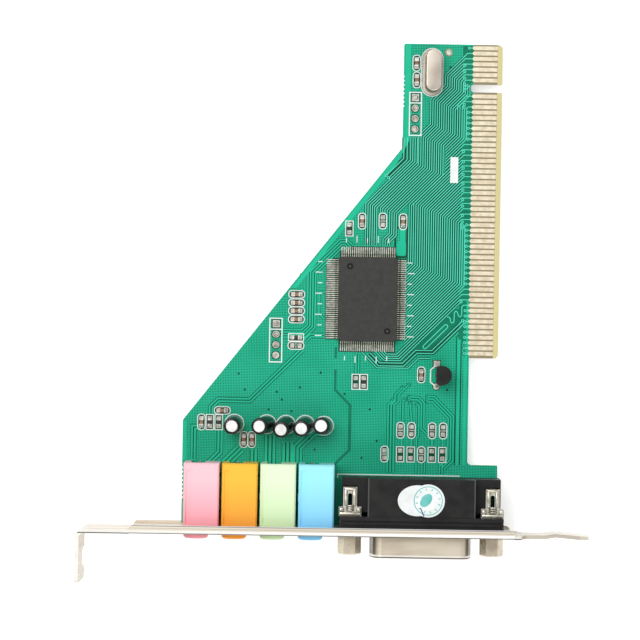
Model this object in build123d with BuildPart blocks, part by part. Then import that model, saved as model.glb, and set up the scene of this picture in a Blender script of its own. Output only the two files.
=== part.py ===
"""A PCI sound card: a printed board with its edge connector, a slot bracket, four audio
jacks, a 15-way game port and the parts soldered to the board. Sizes are in millimetres.

The board's component face is Z = 0 and +Z points up out of it. The origin is on the leading
edge of the edge connector, at the middle of its key notch. +X points out of the edge
connector, and -Y points out through the slot bracket.
"""
import os
from math import atan2, cos, hypot, radians, sin, tan

from build123d import *

os.makedirs("parts", exist_ok=True)

# Edge connector: gold contacts at one pitch, with one key notch two contacts wide
contact_pitch = 1.27
contacts_beyond_key = 7
contacts_before_key = 49
contact_width = 0.9
contact_length = 5.35
contact_setback = 1.25
copper = 0.05
key_width = 1.9
key_depth = 7.55
end_margin_far = 0.8
end_margin_near = 1.1
bevel_run = 1.2
bevel_rise = 0.45
corner_chamfer = 0.6

# Board outline, measured from the key notch
board_thickness = 1.57
upper_edge_x = -23.4
lower_edge_x = -74.4
slope_top_y = -14.35
slope_bottom_y = -79.64
recess_x = -6.85
recess_end_y = -89.3
recess_corner = 1.0
ear_beyond_post = 1.54
board_corner = 0.4
bite_pitch = 1.0
bite_radius = 0.28
bite_count = 8
upper_bites_y = 2.6
lower_bites_y = -91.0
board_front_clearance = 0.9

# Slot bracket: one folded sheet
sheet = 0.86
bracket_face_y = -105.85
bracket_width = 18.42
bracket_below_board = 2.5
bracket_left_x = -98.45
bracket_length = 120.0
tab_reach = 11.9
tab_fold_radius = 1.6
tab_corner = 1.5
notch_width = 4.42
notch_centre_out = 6.6
notch_centre_up = 3.1
flange_from_tab = 12.5
flange_length = 89.7
lip_depth = 2.1
lip_fold_radius = 0.75
lip_corner = 1.2
tongue_width = 10.2
tongue_shoulder = 1.4
tongue_neck_run = 1.4
tongue_step = 0.45
tongue_step_offset = -0.4
tongue_step_run = 2.6
tongue_tip_chamfer = 2.4
tongue_tip_out = 0.7
slack = 0.15

# Small round parts are cut with few sides: wires, drilled holes, hidden rounds, cans and collars
wire_side_count = 6
hole_side_count = 6
notch_side_count = 8
round_side_count = 12
can_side_count = 16
collar_side_count = 24

# Audio jacks
jack_names = ["pink", "orange", "green", "blue"]
first_jack_x = -69.35
jack_pitch = 8.95
jack_width = 8.3
jack_height = 11.9
jack_depth = 15.7
jack_edge = 0.35
bore_radius = 1.8
bore_offset = -1.3
bore_height = 6.4
bore_depth = 14.2
collar_radius = 2.9
collar_reach = 1.25
collar_chamfer = 0.4
recess_width = 1.1
recess_length = 12.6
recess_depth = 0.3
recess_inset = 0.55
strip = 0.3
tail_width = 0.7
tail_below_board = 1.4
bump_reach = 0.22
bump_length = 1.8
bump_height = 3.2
pocket_height = 6.0
pocket_into_bore = 0.27
spring_width = 2.0
spring_straight = 3.4
spring_nose = 6.2
spring_nose_out = 0.9
spring_end_gap = 0.2
switch_plate_height = 3.6
ring_plate_width = 4.0
ring_plate_height = 3.6
ring_plate_drop = 1.0
ring_pocket_depth = 0.75
sleeve_plate_width = 2.4
rear_plate_width = 3.0
rear_plate_height = 5.0
rear_plate_drop = 0.6
rear_contact_inset = 0.5
rear_slot_depth = 1.0

# Game port
jack_to_port = 0.88
port_height = 6.3
flange_beyond_post = 2.91
port_flange_height = 12.5
port_flange_sheet = 0.8
port_flange_corner = 1.6
post_spacing = 33.32
shell_width = 24.66
shell_height = 7.9
shell_wall = 0.4
shell_corner = 2.2
shell_slope = 10.0
shell_reach = 5.0
port_pitch = 2.77
port_row_gap = 2.84
wide_row_count = 8
narrow_row_count = 7
port_opening_clearance = 0.3
socket_radius = 0.62
socket_depth = 4.0
bar_beyond_post = 2.49
bar_depth = 3.0
bar_groove = 0.4
bar_grooves_from_back = (1.08, 2.04)
hood_beyond_shell = 0.22
hood_chamfer = 0.3
hood_back_y = -92.25
hood_height = 12.3
hood_wall = 1.1
wing_height = 8.6
wing_outer = 1.9
pin_wire = 0.5
pin_row_far_y = -95.2
pin_row_step = 2.54
post_across_flats = 4.75
post_reach = 4.5
post_chamfer = 0.3
post_thread_radius = 1.2
post_thread_depth = 4.4
shank_radius = 1.35
post_hole_radius = 1.6
thread_clearance = 0.05
lock_sheet = 0.8
lock_width = 3.2
lock_foot_width = 5.3
lock_root = 2.2
lock_slot = 1.0
lock_slot_length = 3.6
lock_bridge = 2.0
lock_leg_width = 2.3
lock_back_y = -94.4
lock_rise = 0.3

# Quad flat pack
chip_x = -31.1
chip_y = -50.4
chip_width = 14.0
chip_length = 20.0
chip_standoff = 0.25
chip_thickness = 2.7
chip_draft = 0.16
chip_corner = 0.5
lead_pitch = 0.5
leads_on_end = 26
leads_on_side = 38
lead_width = 0.2
lead_thickness = 0.15
lead_exit = 1.5
lead_shoulder = 0.3
lead_heel = 0.75
lead_reach = 1.6
dimple_radius = 0.72
dimple_depth = 0.15
dimple_places = [(-4.3, 7.7), (4.7, -7.5)]

# Crystal
crystal_x = -16.7
crystal_y = 3.65
crystal_lean = 2.5
crystal_flange_length = 11.05
crystal_flange_width = 4.65
crystal_flange_thickness = 0.45
crystal_can_length = 9.9
crystal_can_width = 3.65
crystal_can_height = 3.2
crystal_chamfer = 0.35
crystal_lead_pitch = 4.88
crystal_lead_radius = 0.22

# Electrolytic capacitors: the middle of each foot, and of its leaning top
capacitor_feet = [(-62.2, -80.4), (-54.5, -80.4), (-49.95, -80.45), (-45.4, -80.4), (-40.95, -80.55)]
capacitor_tops = [(-62.6, -80.75), (-56.2, -80.7), (-51.1, -81.4), (-46.3, -81.05), (-41.65, -80.35)]
capacitor_radius = 2.0
capacitor_height = 7.0
sleeve_wall = 0.12
sleeve_shoulder = 0.45
sleeve_opening_radius = 1.37
seal_depth = 1.0
capacitor_lead_pitch = 1.5
capacitor_lead_radius = 0.22

# Transistor
transistor_x = -13.4
transistor_y = -68.1
transistor_radius = 2.3
transistor_flat = 1.25
transistor_height = 4.6
transistor_standoff = 1.6
transistor_leg = 0.45
transistor_leg_pitch = 1.27
transistor_pad_x = -14.48
transistor_pad_pitch = 2.7

# Chip capacitors and resistors: middle and turn of each
chip_part_length = 1.6
chip_part_width = 0.82
capacitor_body_height = 0.75
resistor_body_height = 0.45
end_cap = 0.35
end_cap_wrap = 0.03
chip_capacitor_places = [
    (-20.4, 5.75, 90), (-20.3, 1.75, 90), (-32.7, -31.9, 90), (-23.0, -31.9, 90),
    (-47.9, -49.5, 0), (-47.9, -51.5, 0), (-47.9, -53.4, 0), (-47.9, -55.4, 0), (-18.1, -68.1, 90),
    (-70.0, -80.1, 90), (-65.1, -77.3, 0), (-59.9, -84.1, 90), (-58.0, -84.1, 90),
]
chip_resistor_places = [
    (-35.7, -33.7, 90), (-47.9, -59.7, 0), (-31.7, -70.0, 90), (-68.0, -80.1, 90), (-65.9, -80.1, 90),
]

# Header rows that hold no header, with their holes full of solder, and the open plated holes
header_pitch = 2.48
long_header = (-20.57, -2.45)
short_header = (-52.65, -56.55)
filled_on_long = 4
filled_on_short = 3
pad_radius = 0.78
solder_dome = 0.25
dome_top = 0.45
open_hole_radius = 0.5
test_point = (-12.85, 8.36)
test_point_radius = 0.95

# Labels on the game port
round_label = (-16.4, -97.2)
round_label_radius = 3.85
oval_label = (-18.9, -97.2)
oval_label_half_length = 4.6
oval_label_half_width = 3.6
label_paper = 0.1

# What follows from the driving dimensions
first_contact = 1.5 * contact_pitch
contact_run_far = first_contact + (contacts_beyond_key - 1) * contact_pitch
contact_run_near = first_contact + (contacts_before_key - 1) * contact_pitch
board_top_y = contact_run_far + end_margin_far
connector_end_y = -contact_run_near - end_margin_near
board_bottom_z = -board_thickness
bracket_inner_y = bracket_face_y + sheet
bracket_middle_y = bracket_face_y + sheet / 2
bracket_low_z = board_bottom_z - bracket_below_board
bracket_high_z = bracket_low_z + bracket_width
bracket_centre_z = bracket_low_z + bracket_width / 2
board_front_y = bracket_inner_y + board_front_clearance
flange_left_x = bracket_left_x + flange_from_tab
flange_right_x = flange_left_x + flange_length
tongue_tip_x = bracket_left_x + bracket_length
lip_end_y = bracket_face_y + lip_depth
tail_end_z = board_bottom_z - tail_below_board
jack_places = [first_jack_x + i * jack_pitch for i in range(len(jack_names))]
jack_back_y = bracket_inner_y + jack_depth
collar_end_y = bracket_face_y - collar_reach
port_flange_width = post_spacing + 2 * flange_beyond_post
port_x = jack_places[-1] + jack_width / 2 + jack_to_port + port_flange_width / 2
port_flange_back_y = bracket_inner_y + port_flange_sheet
bar_width = post_spacing + 2 * bar_beyond_post
bar_back_y = port_flange_back_y + bar_depth
hood_width = shell_width + 2 * hood_beyond_shell
post_places = [port_x - post_spacing / 2, port_x + post_spacing / 2]
ear_edge_x = post_places[1] + ear_beyond_post
lock_top_z = wing_height + lock_rise + lock_sheet
lock_hole_radius = hypot(lock_leg_width, lock_sheet) / 2 + slack / 2
tail_hole_radius = hypot(tail_width, strip) / 2 + slack / 2
pin_hole_radius = hypot(pin_wire, pin_wire) / 2 + slack / 2

# Tails of one jack's contacts, from the jack's middle and the bracket's inner face
spring_tail = (2.3, 4.0)
switch_tail = (3.4, 12.6)
ring_tail = (-3.6, 8.0)
sleeve_tail = (bore_offset, 1.6)
rear_tail = (-1.0, jack_depth - rear_contact_inset)
jack_tails = [spring_tail, switch_tail, ring_tail, sleeve_tail, rear_tail]


def across(y):
    """The upright plane at one y, with X and Z as its own axes, facing out of the bracket."""
    return Plane.XZ.offset(-y)


def contact_rows():
    """The y of each contact of the edge connector."""
    far = [first_contact + i * contact_pitch for i in range(contacts_beyond_key)]
    near = [-first_contact - i * contact_pitch for i in range(contacts_before_key)]
    return far + near


def d_face(width, height, corner):
    """A D-shaped face about its own middle, with its wide side down."""
    lean = height * tan(radians(shell_slope))
    with BuildSketch(mode=Mode.PRIVATE) as face:
        Trapezoid(width, height, 90 - shell_slope, align=(Align.CENTER, Align.CENTER))
        fillet(face.vertices(), min(corner, (width - 2 * lean) / 3))
    return face.sketch


def port_columns(count):
    """The x of each contact in one row of the game port."""
    return [port_x + (i - (count - 1) / 2) * port_pitch for i in range(count)]


def chip_part_ends(places):
    """The two end caps of each chip part, as turned places."""
    ends = []
    for x, y, turn in places:
        for side in (-1, 1):
            out = side * (chip_part_length - end_cap) / 2
            ends.append(Location((x + out * cos(radians(turn)), y + out * sin(radians(turn)), 0), (0, 0, turn)))
    return ends


def capacitor_axis(foot, top):
    """The middle of one capacitor's foot, its leaning axis and the level direction across the lean."""
    run = hypot(top[0] - foot[0], top[1] - foot[1])
    turn = atan2(top[1] - foot[1], top[0] - foot[0])
    lean = run / capacitor_height
    rise = (1 - lean ** 2) ** 0.5
    base = Vector(foot[0], foot[1], capacitor_radius * lean)
    axis = Vector(lean * cos(turn), lean * sin(turn), rise)
    across_lean = Vector(-sin(turn), cos(turn), 0)
    return base, axis, across_lean


# Board: one routed sheet, bevelled at the edge connector, with the stubs of its break-off tabs
hole_places = [(crystal_x, crystal_y + side * crystal_lead_pitch / 2) for side in (-1, 1)]
hole_places += [
    (foot[0] + side * capacitor_lead_pitch / 2, foot[1]) for foot in capacitor_feet for side in (-1, 1)
]
hole_places += [(transistor_pad_x, transistor_y + i * transistor_pad_pitch) for i in (-1, 0, 1)]
lead_hole_radius = capacitor_lead_radius + slack
port_holes = [(x, pin_row_far_y) for x in port_columns(narrow_row_count)]
port_holes += [(x, pin_row_far_y - pin_row_step) for x in port_columns(wide_row_count)]
tail_places = [(x + dx, bracket_inner_y + dy) for x in jack_places for dx, dy in jack_tails]
lock_places = [(x, lock_back_y - lock_sheet / 2) for x in post_places]
open_header_hole = (short_header[0], short_header[1] - filled_on_short * header_pitch)

with BuildPart() as pcb:
    with BuildSketch(Plane.XY.offset(board_bottom_z)):
        with BuildLine():
            Polyline(
                (0, key_width / 2),
                (0, board_top_y - corner_chamfer),
                (-corner_chamfer, board_top_y),
                (upper_edge_x, board_top_y),
                (upper_edge_x, slope_top_y),
                (lower_edge_x, slope_bottom_y),
                (lower_edge_x, board_front_y),
                (ear_edge_x, board_front_y),
                (ear_edge_x, recess_end_y),
                (recess_x, recess_end_y),
                (recess_x, connector_end_y),
                (-corner_chamfer, connector_end_y),
                (0, connector_end_y + corner_chamfer),
                (0, -key_width / 2),
                (key_width / 2 - key_depth, -key_width / 2),
            )
            ThreePointArc(
                (key_width / 2 - key_depth, -key_width / 2),
                (-key_depth, 0),
                (key_width / 2 - key_depth, key_width / 2),
            )
            Line((key_width / 2 - key_depth, key_width / 2), (0, key_width / 2))
        make_face()
        with Locations((upper_edge_x, upper_bites_y)):
            with Locations(*[(0, -i * bite_pitch) for i in range(bite_count)]):
                RegularPolygon(bite_radius, notch_side_count, mode=Mode.SUBTRACT)
        with Locations((lower_edge_x, lower_bites_y)):
            with Locations(*[(0, -i * bite_pitch) for i in range(bite_count)]):
                RegularPolygon(bite_radius, notch_side_count, mode=Mode.SUBTRACT)
        with Locations(*hole_places):
            RegularPolygon(lead_hole_radius, hole_side_count, major_radius=False, mode=Mode.SUBTRACT)
        with Locations(*port_holes):
            RegularPolygon(pin_hole_radius, hole_side_count, major_radius=False, mode=Mode.SUBTRACT)
        with Locations(*tail_places):
            RegularPolygon(tail_hole_radius, hole_side_count, major_radius=False, mode=Mode.SUBTRACT)
        with Locations(*lock_places):
            Circle(lock_hole_radius, mode=Mode.SUBTRACT)
        with Locations(open_header_hole, test_point):
            RegularPolygon(open_hole_radius, round_side_count, mode=Mode.SUBTRACT)
    extrude(amount=board_thickness)
    inner_corner = pcb.edges().filter_by(Axis.Z).sort_by_distance((recess_x, recess_end_y, 0))[0]
    fillet(inner_corner, recess_corner)
    outer_corners = pcb.edges().filter_by(Axis.Z).filter_by_position(Axis.Y, board_top_y, board_top_y)
    fillet(outer_corners.sort_by(Axis.X)[0], board_corner)
    with BuildSketch(across(board_top_y)):
        for face_z, way in ((0, -1), (board_bottom_z, 1)):
            with BuildLine():
                Polyline(
                    (-bevel_run, face_z),
                    (0, face_z + way * bevel_rise),
                    (ear_edge_x, face_z + way * bevel_rise),
                    (ear_edge_x, face_z - way * bevel_rise),
                    (-bevel_run, face_z - way * bevel_rise),
                    close=True,
                )
            make_face()
    extrude(amount=board_top_y - connector_end_y, mode=Mode.SUBTRACT)
pcb.part.label = "pcb"
export_step(pcb.part, "parts/pcb.step")

# Gold contacts on both faces of the edge connector
with BuildPart() as edge_contacts:
    for face_z, way in ((0, 1), (board_bottom_z, -1)):
        with BuildSketch(Plane.XY.offset(face_z)):
            with Locations(*[(-contact_setback - contact_length / 2, y) for y in contact_rows()]):
                Rectangle(contact_length, contact_width)
        extrude(amount=way * copper)
edge_contacts.part.label = "edge_contacts"
export_step(edge_contacts.part, "parts/edge_contacts.step")

# Slot bracket: tab, face and tongue from one strip, with lips folded along the face's long edges
step_start_x = (flange_right_x + tongue_tip_x - tongue_step_run) / 2 + tongue_step_offset
step_end_x = step_start_x + tongue_step_run
with BuildPart() as bracket:
    with BuildSketch(Plane.XY.offset(bracket_low_z)):
        with BuildLine():
            FilletPolyline(
                (bracket_left_x + sheet / 2, bracket_face_y - tab_reach),
                (bracket_left_x + sheet / 2, bracket_middle_y),
                (step_start_x, bracket_middle_y),
                (step_end_x, bracket_middle_y + tongue_step),
                (tongue_tip_x, bracket_middle_y + tongue_step - tongue_tip_out),
                radius=tab_fold_radius,
            )
        trace(line_width=sheet)
    extrude(amount=bracket_width)
    with BuildSketch(across(bracket_face_y)):
        shoulder_x = flange_right_x + tongue_shoulder
        half_tongue = tongue_width / 2
        with BuildLine():
            Polyline(
                (bracket_left_x, bracket_low_z),
                (shoulder_x, bracket_low_z),
                (shoulder_x + tongue_neck_run, bracket_centre_z - half_tongue),
                (tongue_tip_x - tongue_tip_chamfer, bracket_centre_z - half_tongue),
                (tongue_tip_x, bracket_centre_z - half_tongue + tongue_tip_chamfer),
                (tongue_tip_x, bracket_centre_z + half_tongue - tongue_tip_chamfer),
                (tongue_tip_x - tongue_tip_chamfer, bracket_centre_z + half_tongue),
                (shoulder_x + tongue_neck_run, bracket_centre_z + half_tongue),
                (shoulder_x, bracket_high_z),
                (bracket_left_x, bracket_high_z),
                close=True,
            )
        make_face()
        fold = lip_fold_radius + sheet / 2
        with Locations((flange_left_x + flange_length / 2, bracket_low_z + fold / 2)):
            Rectangle(flange_length, fold, mode=Mode.SUBTRACT)
        with Locations((flange_left_x + flange_length / 2, bracket_high_z - fold / 2)):
            Rectangle(flange_length, fold, mode=Mode.SUBTRACT)
    extrude(amount=tab_reach + tongue_tip_out, both=True, mode=Mode.INTERSECT)
    with BuildSketch(Plane.YZ.offset(flange_left_x)):
        with BuildLine():
            FilletPolyline(
                (lip_end_y, bracket_high_z - sheet / 2),
                (bracket_middle_y, bracket_high_z - sheet / 2),
                (bracket_middle_y, bracket_low_z + sheet / 2),
                (lip_end_y, bracket_low_z + sheet / 2),
                radius=lip_fold_radius,
            )
        trace(line_width=sheet)
    extrude(amount=flange_length)
    lip_corners = bracket.edges().filter_by(Axis.Z).filter_by_position(Axis.Y, lip_end_y - slack, lip_end_y + slack)
    fillet(lip_corners, lip_corner)
    tab_end_y = bracket_face_y - tab_reach
    tab_corners = bracket.edges().filter_by(Axis.X).filter_by_position(Axis.Y, tab_end_y - slack, tab_end_y + slack)
    fillet(tab_corners, tab_corner)
    with BuildSketch(Plane.YZ.offset(bracket_left_x)):
        with Locations((bracket_face_y - notch_centre_out, bracket_low_z + notch_centre_up)):
            Circle(notch_width / 2)
        with Locations((bracket_face_y - notch_centre_out, bracket_low_z + notch_centre_up / 2)):
            Rectangle(notch_width, notch_centre_up)
    extrude(amount=sheet, mode=Mode.SUBTRACT)
    with BuildSketch(across(bracket_inner_y)):
        with Locations(*[(x + bore_offset, bore_height) for x in jack_places]):
            RegularPolygon(collar_radius + slack, collar_side_count)
        with Locations(*[(x, port_height) for x in post_places]):
            RegularPolygon(post_hole_radius, round_side_count, major_radius=False)
        with Locations((port_x, port_height)):
            add(
                d_face(
                    shell_width + 2 * port_opening_clearance,
                    shell_height + 2 * port_opening_clearance,
                    shell_corner + port_opening_clearance,
                )
            )
    extrude(amount=sheet, mode=Mode.SUBTRACT)
bracket.part.label = "bracket"
export_step(bracket.part, "parts/bracket.step")

# Audio jacks: a moulded block with an offset collar, open at its sides and back for the contacts
for colour, jack_x in zip(jack_names, jack_places):
    bore_x = jack_x + bore_offset
    right_x = jack_x + jack_width / 2
    left_x = jack_x - jack_width / 2
    spring_y = bracket_inner_y + spring_tail[1]
    switch_y = bracket_inner_y + switch_tail[1]
    ring_y = bracket_inner_y + ring_tail[1]
    sleeve_y = bracket_inner_y + sleeve_tail[1]
    rear_y = bracket_inner_y + rear_tail[1]
    pocket_start_y = spring_y - tail_width
    pocket_end_y = switch_y + tail_width
    pocket_low_z = bore_height - pocket_height / 2
    ring_plate_z = bore_height - ring_plate_drop
    ring_pocket_top_z = ring_plate_z + ring_plate_height / 2 + 2 * slack
    rear_plate_x = jack_x + rear_tail[0]
    rear_plate_z = bore_height - rear_plate_drop
    rear_slot_top_z = rear_plate_z + rear_plate_height / 2 + 2 * slack
    sleeve_plate_top_z = bore_height - bore_radius - 2 * slack

    with BuildPart() as jack:
        with BuildSketch(Plane.XY):
            with Locations((jack_x, bracket_inner_y + jack_depth / 2)):
                Rectangle(jack_width, jack_depth)
        extrude(amount=jack_height)
        chamfer(jack.faces().sort_by(Axis.Z)[-1].edges(), jack_edge)
        with BuildSketch(Plane.YZ.offset(left_x - bump_reach)):
            with Locations((bracket_inner_y + jack_depth / 2, bore_height)):
                Rectangle(bump_length, bump_height)
        extrude(amount=jack_width + 2 * bump_reach)
        with BuildSketch(across(bracket_inner_y)):
            with Locations((bore_x, bore_height)):
                RegularPolygon(collar_radius, collar_side_count)
        extrude(amount=sheet + collar_reach)
        chamfer(jack.faces().sort_by(Axis.Y)[0].edges(), collar_chamfer)
        # Contact pocket, open to the right side and to the bore
        with BuildSketch(Plane.YZ.offset(bore_x + bore_radius - pocket_into_bore)):
            with Locations(((pocket_start_y + pocket_end_y) / 2, bore_height)):
                Rectangle(pocket_end_y - pocket_start_y, pocket_height)
            for tail_y in (spring_y, switch_y):
                with Locations((tail_y, pocket_low_z / 2)):
                    Rectangle(tail_width + 2 * slack, pocket_low_z)
        extrude(amount=jack_width, mode=Mode.SUBTRACT)
        # Pocket for the ring contact in the left side
        with BuildSketch(Plane.YZ.offset(left_x - bump_reach)):
            with Locations((ring_y, ring_pocket_top_z / 2)):
                Rectangle(ring_plate_width + 2 * slack, ring_pocket_top_z)
        extrude(amount=bump_reach + ring_pocket_depth, mode=Mode.SUBTRACT)
        # Slot for the sleeve contact under the bore, and the open back
        with BuildSketch(Plane.XY):
            with Locations((bore_x, sleeve_y)):
                Rectangle(sleeve_plate_width + 2 * slack, strip + 2 * slack)
        extrude(amount=bore_height - bore_radius, mode=Mode.SUBTRACT)
        with BuildSketch(across(jack_back_y)):
            with Locations((rear_plate_x, rear_slot_top_z / 2)):
                Rectangle(rear_plate_width + 2 * slack, rear_slot_top_z)
        extrude(amount=rear_slot_depth, mode=Mode.SUBTRACT)
        with BuildSketch(across(collar_end_y)):
            with Locations((bore_x, bore_height)):
                Circle(bore_radius)
        extrude(amount=-bore_depth, mode=Mode.SUBTRACT)
        # Shallow mark of the mould's insert in the top
        with BuildSketch(Plane.XY.offset(jack_height)):
            with Locations((left_x + recess_inset + recess_width / 2, bracket_inner_y + jack_depth / 2)):
                Rectangle(recess_width, recess_length)
        extrude(amount=-recess_depth, mode=Mode.SUBTRACT)
    jack.part.label = colour + "_jack"
    export_step(jack.part, "parts/" + colour + "_jack.step")

    with BuildPart() as contacts:
        # Tip spring: its nose stands beside the bore, its tail goes through the board
        spring_x = jack_x + spring_tail[0]
        nose_x = bore_x + bore_radius + strip
        with BuildSketch(Plane.XY.offset(bore_height - spring_width / 2)):
            with BuildLine():
                Polyline(
                    (spring_x, spring_y - tail_width / 2),
                    (spring_x, spring_y + spring_straight),
                    (nose_x, spring_y + spring_nose),
                    (nose_x + spring_nose_out, switch_y - spring_end_gap),
                )
            trace(line_width=strip)
        extrude(amount=spring_width)
        # Tails of the tip spring and of the switch and ring contacts, flat to the side
        with BuildSketch(Plane.XY.offset(tail_end_z)):
            with Locations((spring_x, spring_y)):
                Rectangle(strip, tail_width)
        extrude(until=Until.NEXT)
        with BuildSketch(Plane.YZ.offset(jack_x + switch_tail[0] - strip / 2)):
            with Locations(((spring_y + switch_y) / 2, bore_height)):
                Rectangle(switch_y - spring_y + tail_width, switch_plate_height)
            with Locations((switch_y, (tail_end_z + bore_height) / 2)):
                Rectangle(tail_width, bore_height - tail_end_z)
        extrude(amount=strip)
        with BuildSketch(Plane.YZ.offset(jack_x + ring_tail[0] - strip / 2)):
            with Locations((ring_y, ring_plate_z)):
                Rectangle(ring_plate_width, ring_plate_height)
            with Locations((ring_y, (tail_end_z + ring_plate_z) / 2)):
                Rectangle(tail_width, ring_plate_z - tail_end_z)
        extrude(amount=strip)
        # Sleeve contact under the bore, and the end contact in the back, flat to the front
        with BuildSketch(across(sleeve_y + strip / 2)):
            with Locations((bore_x, (slack + sleeve_plate_top_z) / 2)):
                Rectangle(sleeve_plate_width, sleeve_plate_top_z - slack)
            with Locations((bore_x, (tail_end_z + sleeve_plate_top_z) / 2)):
                Rectangle(tail_width, sleeve_plate_top_z - tail_end_z)
        extrude(amount=strip)
        with BuildSketch(across(rear_y + strip / 2)):
            with Locations((rear_plate_x, rear_plate_z)):
                Rectangle(rear_plate_width, rear_plate_height)
            with Locations((rear_plate_x, (tail_end_z + rear_plate_z) / 2)):
                Rectangle(tail_width, rear_plate_z - tail_end_z)
        extrude(amount=strip)
    contacts.part.label = colour + "_jack_contacts"
    export_step(contacts.part, "parts/" + colour + "_jack_contacts.step")

# Game port: pressed shell and flange
with BuildPart() as port_shell:
    with BuildSketch(across(port_flange_back_y)):
        with Locations((port_x, port_height)):
            RectangleRounded(port_flange_width, port_flange_height, port_flange_corner)
        with Locations(*[(x, port_height) for x in post_places]):
            RegularPolygon(post_hole_radius, round_side_count, major_radius=False, mode=Mode.SUBTRACT)
    extrude(amount=port_flange_sheet)
    with BuildSketch(across(port_flange_back_y)):
        with Locations((port_x, port_height)):
            add(d_face(shell_width, shell_height, shell_corner))
    extrude(amount=port_flange_sheet + sheet + shell_reach)
    with BuildSketch(across(port_flange_back_y)):
        with Locations((port_x, port_height)):
            add(d_face(shell_width - 2 * shell_wall, shell_height - 2 * shell_wall, shell_corner - shell_wall))
    extrude(amount=port_flange_sheet + sheet + shell_reach, mode=Mode.SUBTRACT)
port_shell.part.label = "port_shell"
export_step(port_shell.part, "parts/port_shell.step")

# Game port: socket block inside the shell
port_clear = shell_wall + slack
with BuildPart() as port_insulator:
    with BuildSketch(across(bar_back_y - bar_depth)):
        with Locations((port_x, port_height)):
            add(d_face(shell_width - 2 * port_clear, shell_height - 2 * port_clear, shell_corner - port_clear))
    extrude(amount=port_flange_sheet + sheet + shell_reach - slack)
    with BuildSketch(across(bracket_face_y - shell_reach)):
        with Locations(*[(x, port_height + port_row_gap / 2) for x in port_columns(narrow_row_count)]):
            RegularPolygon(socket_radius, hole_side_count)
        with Locations(*[(x, port_height - port_row_gap / 2) for x in port_columns(wide_row_count)]):
            RegularPolygon(socket_radius, hole_side_count)
    extrude(amount=-socket_depth, mode=Mode.SUBTRACT)
port_insulator.part.label = "port_insulator"
export_step(port_insulator.part, "parts/port_insulator.step")

# Game port: moulded rear body, a ribbed bar, a hood over the pins and a frame round each lock
hood_left_x = port_x - hood_width / 2
hood_right_x = port_x + hood_width / 2
wing_back_y = hood_back_y
wing_front_y = bar_back_y + lock_sheet + slack
bar_low_z = port_height - port_flange_height / 2
with BuildPart() as port_body:
    with BuildSketch(across(bar_back_y)):
        with Locations((port_x, port_height)):
            Rectangle(bar_width, port_flange_height)
        with Locations(*[(x, port_height) for x in post_places]):
            RegularPolygon(post_hole_radius, round_side_count, major_radius=False, mode=Mode.SUBTRACT)
    extrude(amount=bar_depth)
    with BuildSketch(Plane.XY.offset(bar_low_z + port_flange_height)):
        with Locations(*[(port_x, bar_back_y - back) for back in bar_grooves_from_back]):
            Rectangle(bar_width, bar_groove)
    extrude(amount=-bar_groove, mode=Mode.SUBTRACT)
    with BuildSketch(Plane.XY.offset(bar_low_z)):
        with Locations((port_x, (bar_back_y + hood_back_y) / 2)):
            Rectangle(hood_width, hood_back_y - bar_back_y)
    extrude(amount=hood_height - bar_low_z)
    hood_edges = port_body.edges().filter_by_position(Axis.Z, hood_height - slack, hood_height + slack)
    chamfer(hood_edges.filter_by(Axis.Y), hood_chamfer)
    for post_x in post_places:
        outer_x = post_x + (wing_outer if post_x > port_x else -wing_outer)
        inner_x = hood_right_x if post_x > port_x else hood_left_x
        with BuildSketch(Plane.XY.offset(bar_low_z)):
            with Locations(((outer_x + inner_x) / 2, (wing_front_y + wing_back_y) / 2)):
                Rectangle(abs(outer_x - inner_x), wing_back_y - wing_front_y)
            with Locations((post_x, (wing_front_y + lock_back_y + 2 * slack) / 2)):
                Rectangle(lock_width + slack, lock_back_y + 2 * slack - wing_front_y, mode=Mode.SUBTRACT)
        extrude(amount=wing_height - bar_low_z)
    with BuildSketch(Plane.XY.offset(bar_low_z)):
        with Locations((port_x, (bar_back_y - bar_depth + hood_back_y - hood_wall) / 2)):
            Rectangle(hood_width - 2 * hood_wall, hood_back_y - hood_wall - bar_back_y + bar_depth)
    extrude(amount=hood_height - hood_wall - bar_low_z, mode=Mode.SUBTRACT)
port_body.part.label = "port_body"
export_step(port_body.part, "parts/port_body.step")

# Game port: right-angle pins from the socket block down through the board
port_rows = [
    (port_columns(narrow_row_count), port_height + port_row_gap / 2, pin_row_far_y),
    (port_columns(wide_row_count), port_height - port_row_gap / 2, pin_row_far_y - pin_row_step),
]
with BuildPart() as port_pins:
    for columns, level, down_y in port_rows:
        for column in columns:
            with BuildSketch(Plane.YZ.offset(column - pin_wire / 2)):
                with BuildLine():
                    Polyline((bar_back_y - bar_depth, level), (down_y, level), (down_y, tail_end_z))
                trace(line_width=pin_wire)
            extrude(amount=pin_wire)
port_pins.part.label = "port_pins"
export_step(port_pins.part, "parts/port_pins.step")

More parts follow.
